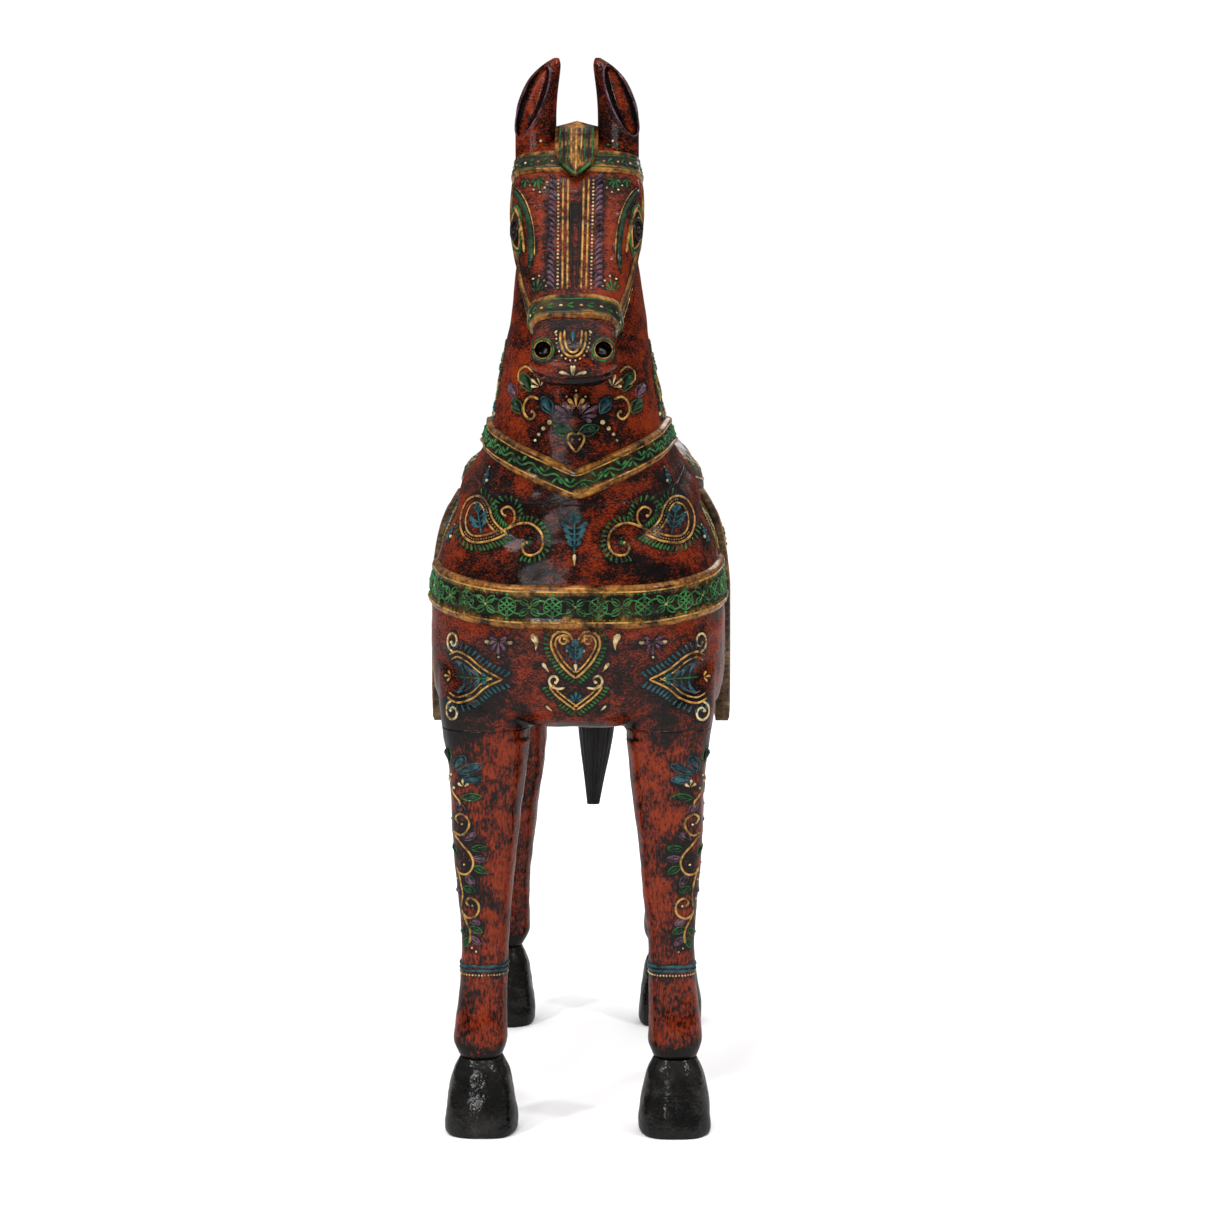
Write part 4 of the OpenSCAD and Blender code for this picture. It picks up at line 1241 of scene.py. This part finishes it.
def vine(pen, path, gap, reach, colours=("green", "purple")):
    """A stem with almond leaves on both sides by turns, and a dot across from each."""
    pen.line("gold", path, 1.6)
    knots = spline(path, gap)
    along, left = headings(knots)
    for k, (p, t, n) in enumerate(zip(knots[1:-1], along[1:-1], left[1:-1])):
        n = n if k % 2 else -n
        pen.leaf(colours[k % 2], p + n * 1.2, p + n * reach + t * reach * 0.75, reach * 0.55)
        pen.dot("cream", *(p - n * reach * 0.55 + t * 2), 1.8)


# the chest and the throat
front_pen = Pen("trunk", Canvas(from_front, body_tree))
paisley(front_pen.at(87, 530))
lotus(front_pen.middle().at(-1, 535))
heart(front_pen)
lotus(front_pen.middle().at(0, 432, 0, 0.72), 3)
front_pen.middle().fan("teal", 0, 379, 90, 10, 5, 120, 2.6)
front_pen.middle().fan("purple", 0, 404, 90, 9, 3, 70, 2.2)
sprig(front_pen.at(64, 431, 180, 1.0))
shoulder_pen = Pen("trunk", Canvas(round_post(62, -168, 62, reach=180), body_tree))
medallion(shoulder_pen.at(34, 398, 0, 1.35))
sprig(shoulder_pen.at(44, 562, 15, 0.8), "teal")
sprig(shoulder_pen.at(96, 512, 0, 0.8), "teal")

throat = Pen("neck", Canvas(from_front, body_tree))
throat.line("gold", [(0, 601), (4.5, 602), (7, 598), (5, 592.5), (0, 586)], 1.7)
throat.dot("gold", 3, 597, 1.8)
throat.leaf("green", (1.5, 602), (19, 607), 9)
for x, y, size in ((22, 611, 4.0), (27, 606, 3.4), (31, 601, 2.8), (34, 596, 2.2)):
    throat.dot("cream", x, y, size)
throat.line("gold", [(31, 630), (38, 632), (43, 627), (43.5, 619), (39, 613.5), (34.5, 616), (35.5, 620)], 2)
throat.dot("gold", 36.5, 619.5, 3.0)
throat.leaf("teal", (20, 618), (28, 632), 9, "teal")
throat.fan("purple", 3, 616, 30, 17, 5, 110, 3.6)
throat.middle().fan("gold", 0, 622, 90, 13, 5, 150, 3.4, "cream")
throat.leaf("green", (46, 618), (54, 630), 9)
throat.leaf("purple", (50, 631), (57, 643), 8, "purple")
throat.leaf("green", (38, 636), (46, 652), 9)
throat.line("gold", [(36, 652), (42, 657), (48, 653), (48, 645), (42, 642)], 1.7)
throat.fan("cream", 30, 640, 60, 12, 4, 110, 2.4)

# the legs: a vine down the outer front of a front leg, rings above its fetlock, and plainer vines elsewhere
leg_pen = Pen("legs", Canvas(round_post(79, FY, 24, reach=70), body_tree))
for base, tip, wide in (((16, 317), (9, 331), 7), ((13, 315), (0, 324), 7), ((12, 310), (0, 311), 6.5)):
    leg_pen.leaf("teal", base, tip, wide, "teal")
leg_pen.leaf("green", (20, 322), (22, 338), 8)
for x, y in ((25, 308), (11, 306.5)):
    leg_pen.fan("cream", x, y - 3, 90, 7, 3, 90, 2.4)
leg_pen.dot("cream", 20, 313, 2.2)
leg_pen.dot("cream", 18, 302, 2.4)
leg_pen.line("gold", [(22, 301), (18, 296), (14, 290), (15, 284)], 1.6)
leg_pen.leaf("green", (13, 294), (1, 296), 6)
leg_pen.leaf("purple", (17, 290), (11, 281), 5, "purple")
leg_pen.line("gold", [(24, 264), (15, 261.5), (10, 267), (9, 275), (14, 280), (19, 276), (16, 271)], 1.9)
leg_pen.line("gold", [(24, 264), (16, 255), (9, 245), (7.5, 236), (12, 228), (20, 228), (24, 233)], 1.8)
leg_pen.line("gold", [(22, 232), (19, 221), (18, 209), (21, 198)], 1.6)
leg_pen.line("gold", [(22, 194), (14, 189), (6, 193), (5, 202), (11, 207), (15, 203), (12, 199)], 1.9)
leg_pen.line("gold", [(22, 196), (17, 186), (13, 177), (14, 167)], 1.7)
for colour, base, tip in (
        ("purple", (14, 257), (5, 264)), ("green", (9, 250), (-2, 251)), ("purple", (8, 242), (-3, 241)),
        ("green", (8, 235), (-2, 229)), ("purple", (13, 228), (8, 217)), ("green", (20, 243), (27, 252)),
        ("green", (17, 216), (7, 213)), ("purple", (20, 208), (29, 214)), ("purple", (14, 189), (4, 184)),
        ("green", (14, 181), (2, 177)), ("purple", (13, 173), (4, 166)), ("green", (16, 180), (25, 174)),
        ("green", (15, 172), (21, 163))):
    leg_pen.leaf(colour, base, tip, 5.2, "leaf" if colour == "green" else "purple")
for x, y in ((14, 271), (14, 236), (10, 200), (24, 222), (12, 163), (8, 160), (25, 205)):
    leg_pen.dot("cream", x, y, 1.8)
around = np.linspace(-70, 70, 60)
ring_pen = Pen("legs", Canvas(round_post(80, FY, 22, reach=60), body_tree))
for z, colour, width in ((147, "teal", 2.6), (143.3, "teal", 2.2)):
    ring_pen.line(colour, np.column_stack([around, z + 0 * around]), width, 2.6)
ring_pen.beads("cream", np.column_stack([around, 139.4 + 0 * around]), 1.7, 2.7)
side_vine = np.array([(0, 335), (5, 318), (-5, 300), (5, 282), (-5, 262), (4, 242), (-4, 222), (4, 202),
                      (-3, 184), (0, 168)])
for post, swing, lift, gap, reach in (
        (round_post(78, FY, 24, 115, 70), 1, 0, 10, 8), (round_post(75, RY + 4, 28, 80, 90), 1.3, 0, 10, 9),
        (round_post(76, RY, 26, 12, 90), 0.8, 4, 11, 7)):
    vine(Pen("legs", Canvas(post, body_tree)), side_vine * (swing, 1) + (0, lift), gap, reach)

# the sides and the rump
side_canvas = Canvas(from_side, body_tree)
flank = Pen("trunk", side_canvas)
paisley(flank.at(214, 482, 0, 1.25))
medallion(flank.at(214, 398, 180, 0.9))
sprig(flank.at(166, 524, 0, 1.1), "teal")
vine(flank, [(150, 372), (172, 378), (190, 370)], 10, 7)
paisley(flank.at(-112, 520, 0, 0.8, -1))
medallion(flank.at(-92, 412, 0, 0.8))
crest = Pen("neck", side_canvas)
paisley(crest.at(-128, 664, 60, 0.85))
vine(crest, [(-50, 612), (-72, 656), (-96, 706), (-120, 754)], 11, 8)
sprig(crest.at(-96, 618, 0, 1.0))
sprig(crest.at(-150, 615, 0, 1.1), "teal")
behind = Pen("trunk", Canvas(from_behind, body_tree))
paisley(behind.at(78, 470, 0, 0.9))
sprig(behind.at(40, 425, 180, 1.2))
sprig(behind.at(56, 522, 0, 1.0), "teal")

# the face
face = Pen("head", Canvas(from_front, head_tree))
for top_x, low_x in ((10.5, 9.5), (6.5, 5.5)):
    face.line("gold", [(top_x, 812), (top_x - 0.3, 770), (low_x, 719)], 1.7, 2.4)
face.line("shade", [(4.2, 790), (3.0, 750), (1.6, 720)], 2.0, 3)
for z in np.arange(720, 812, 3.1):
    face.dot("cream", 13.4 + (z - 720) * 0.012, z, 2.0)
for z in np.arange(721, 812, 4.5):
    face.drop("purple", (16.0, z - 1.5), (22.4, z + 3.6), 3.6, 0.12)
    face.drop("shade", (22.8, z - 0.6), (18.5, z + 0.6), 1.3)
face.fan("green", 32, 813, -100, 11, 5, 100, 2.6, "cream")
face.fan("green", 42, 812, -90, 8, 3, 80, 2.2)
face.line("leaf", [(51.5, 803), (47.5, 797), (42, 787), (38.2, 775), (36.2, 762), (35.5, 748), (36.5, 736)],
          4.8, 2.2)
face.line("gold", [(50.5, 805), (45, 799), (39.5, 788.5), (35.4, 775), (33.4, 761), (33, 747)], 1.1, 2)
face.line("gold", [(51, 789), (48, 783), (45, 773), (43, 762), (41.5, 750)], 2.7, 2)
face.fan("green", 31, 716, 100, 12, 5, 90, 2.2, "cream")
eye_pen = Pen("head", Canvas(eye_view, head_tree))
for wide, tall, colour, width in (
        (23, 11.5, "green", 2.2), (18.5, 8.8, "gold", 1.7), (9.5, 6.4, "shade", 3.4)):
    eye_pen.line(colour, oval(0, 0, wide, tall * (1 - 0.25 * np.cos(ROUND))), width, 2)
eye_pen.stroke("shade", [(-3.4, 0), (-2.4, 0), (0, 0), (2.4, 0), (3.4, 0)], [0.6, 2.4, 3.4, 2.4, 0.6], 0.5)
cheek = Pen("head", Canvas(from_side, head_tree))
vine(cheek, [(-190, 722), (-208, 710), (-226, 690)], 9, 6)
sprig(cheek.at(-170, 765, 0, 0.9), "purple")

# the muzzle
muzzle_pen = Pen("head", Canvas(from_front, head_tree))
for radius, colour, width in ((8.6, "green", 1.6), (7.1, "gold", 1.1)):
    muzzle_pen.line(colour, oval(NOSTRIL_X, NOSTRIL_Z, radius, radius), width, 1.6)
arch = np.array([(-10, 685), (-9.8, 676), (-6.5, 668), (0, 665), (6.5, 668), (9.8, 676), (10, 685)])
mid_face = muzzle_pen.middle()
mid_face.line("gold", arch, 1.9)
mid_face.line("gold", spline(arch * (0.68, 1) + (0, 3.2), 2)[1:-1], 1.7)
mid_face.beads("cream", spline(arch, 2), 1.5, 2.8, -3.2)
mid_face.drop("teal", (0, 674), (0, 685), 4.4)
muzzle_pen.drop("cream", (2, 650), (11, 652.5), 2.8, 0.1)
muzzle_pen.drop("cream", (0.5, 650), (1.2, 658), 2.2)
muzzle_pen.dot("cream", 14, 684, 2)

# the forelock and the bridle
lock = Pen("head", Canvas(from_front, forelock_tree))
lock.line("green", [(13.2, 826), (6.5, 819.5), (1, 815)], 2.6)
for x, colour in ((3.6, "gold"), (6.6, "green"), (9.6, "shade"), (13, "green")):
    lock.line(colour, [(x, 822 + x * 0.3), (x + 0.6, 840), (x + 0.8, 856)], 1.5, 2)
lock.middle().line("gold", [(0, 818), (0, 840), (0, 858)], 2.2, 2)
for tree, ray, reach, edge in ((brow_tree, BROW_RING, 84, 5.6), (nose_tree, NOSE_RING, 71, 7.2)):
    strap = Pen("head", Canvas(ray, tree), (1,))
    for v in (-edge, edge):
        strap.line("green", [(-reach, v), (0, v), (reach, v)], 1.1, 2.5)
    for k, u in enumerate(np.arange(-reach + 4, reach - 3, 10.5)):
        for side in SIDES:
            strap.drop("green", (u, 0), (u + 4, 2.6 * side), 2.2)
        strap.dot("gold" if k % 2 else "cream", u - 2.6, 0, 2.0)

# the breast band: four-petalled flowers in a leafy wave
breast_pen = Pen("bands", Canvas(TRUNK_POST, breast_tree), (1,))
wave_u = np.arange(-REACH + 8, REACH - 7, 3.0)
middle_v = np.interp(wave_u, breast_path[:, 0], breast_path[:, 1])
for phase in (0, math.pi):
    swing = 5.5 * np.sin(wave_u * 2 * math.pi / 34 + phase)
    breast_pen.line("vivid", np.column_stack([wave_u, middle_v + swing]), 1.4, 2.4)
for k, u in enumerate(np.arange(-17 * round(REACH / 17) + 17, REACH - 12, 17)):
    flower = breast_pen.at(u, np.interp(u, breast_path[:, 0], breast_path[:, 1]))
    if k % 2 == 0:
        for a in (45, 135, 225, 315):
            flower.leaf("vivid", heading(a) * 1.2, heading(a) * 10, 4.6, None, None)
        flower.dot("gold", 0, 0, 2.4)
    else:
        for side in SIDES:
            flower.leaf("vivid", (-7 * side, 0), (1 * side, 8), 4.0, None, None)
            flower.leaf("vivid", (-7 * side, 0), (1 * side, -8), 4.0, None, None)
            flower.dot("vivid", 0, 10 * side, 2.6)
for edge in (-12.6, 12.6):
    breast_pen.line("gold", np.column_stack([wave_u, middle_v + edge]), 1.3, 3)
    breast_pen.beads("vivid", np.column_stack([wave_u, middle_v + edge * 0.86]), 1.4, 4.2)

collar_pen = Pen("bands", Canvas(NECK_POST, collar_tree), (1,))
wave_u = np.arange(14 - COLLAR_REACH, COLLAR_REACH - 14, 2.5)
middle_v = collar_height(wave_u)
swing = 2.6 * np.sin(wave_u * 2 * math.pi / 19)
collar_pen.line("vivid", np.column_stack([wave_u, middle_v + swing]), 1.7, 2.2)
for k, u in enumerate(np.arange(-213, 216, 9.5)):
    side = 1 if k % 2 else -1
    knot = collar_pen.at(u, float(collar_height(u)))
    for x in (4, -4):
        knot.drop("vivid", (0, 0), (x, -4.6 * side), 2.6)
for edge in (-7.4, 7.4):
    collar_pen.line("gold", np.column_stack([wave_u, middle_v + edge]), 1.1, 3)

# the ears: a double rim round the hollow, and dots at its foot
for tree, side in zip(ear_trees, SIDES):
    ear_pen = Pen("head", Canvas(from_front, tree), (side,))
    for size, colour, width in ((1.28, "shade", 2.2), (1.06, "purple", 1.5)):
        rise = HOLLOW_HALF * size * np.sin(ROUND)
        rim_x = HOLLOW_X + HOLLOW_LEAN * rise + 9.4 * size * np.cos(ROUND)
        ear_pen.line(colour, np.column_stack([rim_x, HOLLOW_Z + rise * 0.93]), width, 2)
    for k, (dx, dz) in enumerate(((30, 844), (26, 841), (34, 841), (30, 838))):
        ear_pen.dot("cream" if k == 0 else "green", dx, dz, 2.2)

# the flaps
flap_pen = Pen("saddle", Canvas(from_side, *flap_trees))
for inset, width in ((6, 2.0), (10, 1.3), (26, 1.3)):
    y0, y1, z0, z1 = S0 + inset, S1 - inset, FLAP_FOOT + inset, FLAP_TOP - 6 - inset * 0.5
    flap_pen.line("gold", [(y0, z1), (y0, (z0 + z1) / 2), (y0, z0), ((y0 + y1) / 2, z0), (y1, z0),
                           (y1, (z0 + z1) / 2), (y1, z1)], width, 2.6)
vine(flap_pen, [(S0 + 18, 530), (S0 + 18, 440), (S0 + 20, 362), (47, 358), (S1 - 20, 362), (S1 - 18, 440),
                (S1 - 18, 530)], 13, 6.5, ("green", "teal"))
paisley(flap_pen.at(62, 452, 0, 0.95))
for y, z, turned, colour in (
        (12, 498, 0, "teal"), (104, 498, 0, "purple"), (8, 396, 0, "purple"), (92, 392, 0, "teal"),
        (48, 392, 180, "purple"), (60, 512, 180, "teal")):
    sprig(flap_pen.at(y, z, turned, 1.15), colour)
seat_pen = Pen("saddle", Canvas(from_side, seat_tree))
seat_pen.line("gold", [(S0 + 4, 560), (S0 + 40, 556), (47, 553), (100, 556), (S1 - 6, 562)], 1.8, 2.6)
vine(seat_pen, [(S0 + 6, 576), (S0 + 40, 571), (47, 567), (100, 571), (S1 - 8, 580)], 11, 6,
     ("green", "teal"))


# one object for all the strokes of one colour in one region
quads = [(j, j + RING, (j + 1) % RING + RING, (j + 1) % RING) for j in range(RING)]
for (region, colour), strokes in Pen.piped.items():
    faces, base = [], 0
    for rings in strokes:
        last = base + (len(rings) - 1) * RING
        faces += [[first + q for q in quad] for first in range(base, last, RING) for quad in quads]
        faces += [[base + j for j in range(RING)], [last + j for j in reversed(range(RING))]]
        base = last + RING
    piece(f"piped_{colour}_{region}", np.concatenate(strokes).reshape(-1, 3), faces, colour)


# ---------------------------------------------------------------- the body's skins
def ground(tree_points, verts, reach=5.0):
    """How near each vertex is to a piped stroke, from 1 on it to 0 at that reach."""
    tree = KDTree(len(tree_points))
    for i, p in enumerate(tree_points):
        tree.insert(p, i)
    tree.balance()
    return np.array([np.clip(1 - tree.find(v)[2] / reach, 0, 1) for v in verts])


def carved(skin, name, planes, values, *nodes):
    """The part of a skin inside the planes, as a piece."""
    verts, faces, kept = cut(skin.v, skin.f, planes, values)
    piece(name, verts, faces, "red", *nodes, **kept)


def shade_and_dark_spots(v, *spots):
    """Darker paint near each spot (centre, radii, strength), alike on both sides; at some spots this is
    painted shade.
    """
    dark = np.zeros(len(v))
    for centre, radii, strength in spots:
        far = np.linalg.norm((np.abs(v) * (1, 0, 0) + v * (0, 1, 1) - centre) / radii, axis=1)
        dark = np.maximum(dark, strength * ease(1.3 - far))
    return dark


marks = np.concatenate(Pen.marks)
# Darker near piped strokes, for the dark ground under them. Three spots are painted shade: under the collar's
# lip, at the front legs' tops, and under the belly between the front legs. The other spots darken the throat,
# above the breast band, beside the neck's foot, the lower chest, the hooves' tops and the front legs' outer
# sides.
stain = 0.85 * ground(marks, body.v) + shade_and_dark_spots(
    body.v, ((0, -235, 612), (70, 60, 40), 0.35), ((70, -235, 486), (80, 60, 14), 0.6),
    ((0, -247, 546), (110, 40, 16), 0.6), ((95, -190, 356), (44, 60, 34), 0.8),
    ((0, -200, 350), (44, 60, 12), 0.6), ((60, -150, 560), (60, 60, 30), 0.6),
    ((60, -220, 400), (80, 60, 40), 0.35), ((HOOF, FY, 68), (46, 46, 17), 1.5),
    ((HOOF - 4, RY, 84), (46, 46, 16), 1.6), ((96, FY, 240), (18, 60, 90), 0.4))
# Hollows get painted shade and edges slightly lighter paint; lower down, the specks and grain run upright.
values = {"stain": stain, "crease": np.clip(body.hollowness() / 0.5, -0.4, 1),
          "upright": ease((B + 30 - body.v[:, 2]) / 60)}
leg_plane, between_pairs = np.array([0, 0, float(B)]), np.array([0, 30.0, 0])
right, back, up = np.eye(3)
carved(body, "trunk_painted", [(leg_plane, -up), NECK_PLANE], values,
       "trunk_centre_board", "trunk_left_board", "trunk_right_board")
carved(body, "neck_painted", [(NECK_PLANE[0], -NECK_PLANE[1]), HEAD_PLANE], values, "neck_block")
for side, word in NAMED_SIDES:
    for where, sign in (("front", 1), ("rear", -1)):
        carved(body, f"leg_{where}_{word}_painted",
               [(leg_plane, up), (np.zeros(3), -right * side), (between_pairs, back * sign)], values,
               f"leg_{where}_{word}")
# Darker near piped strokes, for their dark ground. The spots under the noseband and in the nostrils are
# painted shade. The other spots darken the chin, under the jaw, beside the eyes, the cheeks and the middle of
# the face. Hollows get painted shade too.
stain = 0.7 * ground(marks, head.v) + shade_and_dark_spots(
    head.v, ((0, -318, 637), (50, 44, 19), 1.1), ((0, -250, 650), (60, 40, 40), 0.9),
    ((54, -210, 762), (12, 40, 40), 1), ((48, -225, 722), (12, 30, 30), 1),
    ((0, -304, 690), (24, 14, 5), 0.9), ((24, -318, 670), (6.5, 9, 6.5), 2.2),
    ((0, -235, 770), (6, 60, 45), 0.6))
carved(head, "head_painted", [(HEAD_PLANE[0], -HEAD_PLANE[1])],
       {"stain": stain, "crease": np.clip(head.hollowness() / 0.35, -0.4, 1)}, "head_block")

for node in ("trunk_dowels", "neck_dowels", "head_dowels", "ear_pegs", "leg_dowels", "hoof_dowels",
             "tail_peg"):
    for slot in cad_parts[node].material_slots:
        slot.material = MATERIALS["wood"]


# ---------------------------------------------------------------- floor
FLOOR_RADIUS, FLOOR_SIDES = 14000, 64
around = np.linspace(0, 2 * math.pi, FLOOR_SIDES, endpoint=False)
disc = [(FLOOR_RADIUS * math.cos(a), FLOOR_RADIUS * math.sin(a), 0) for a in around]
add_object("floor", disc, [list(range(FLOOR_SIDES))], "floor", smooth=False)
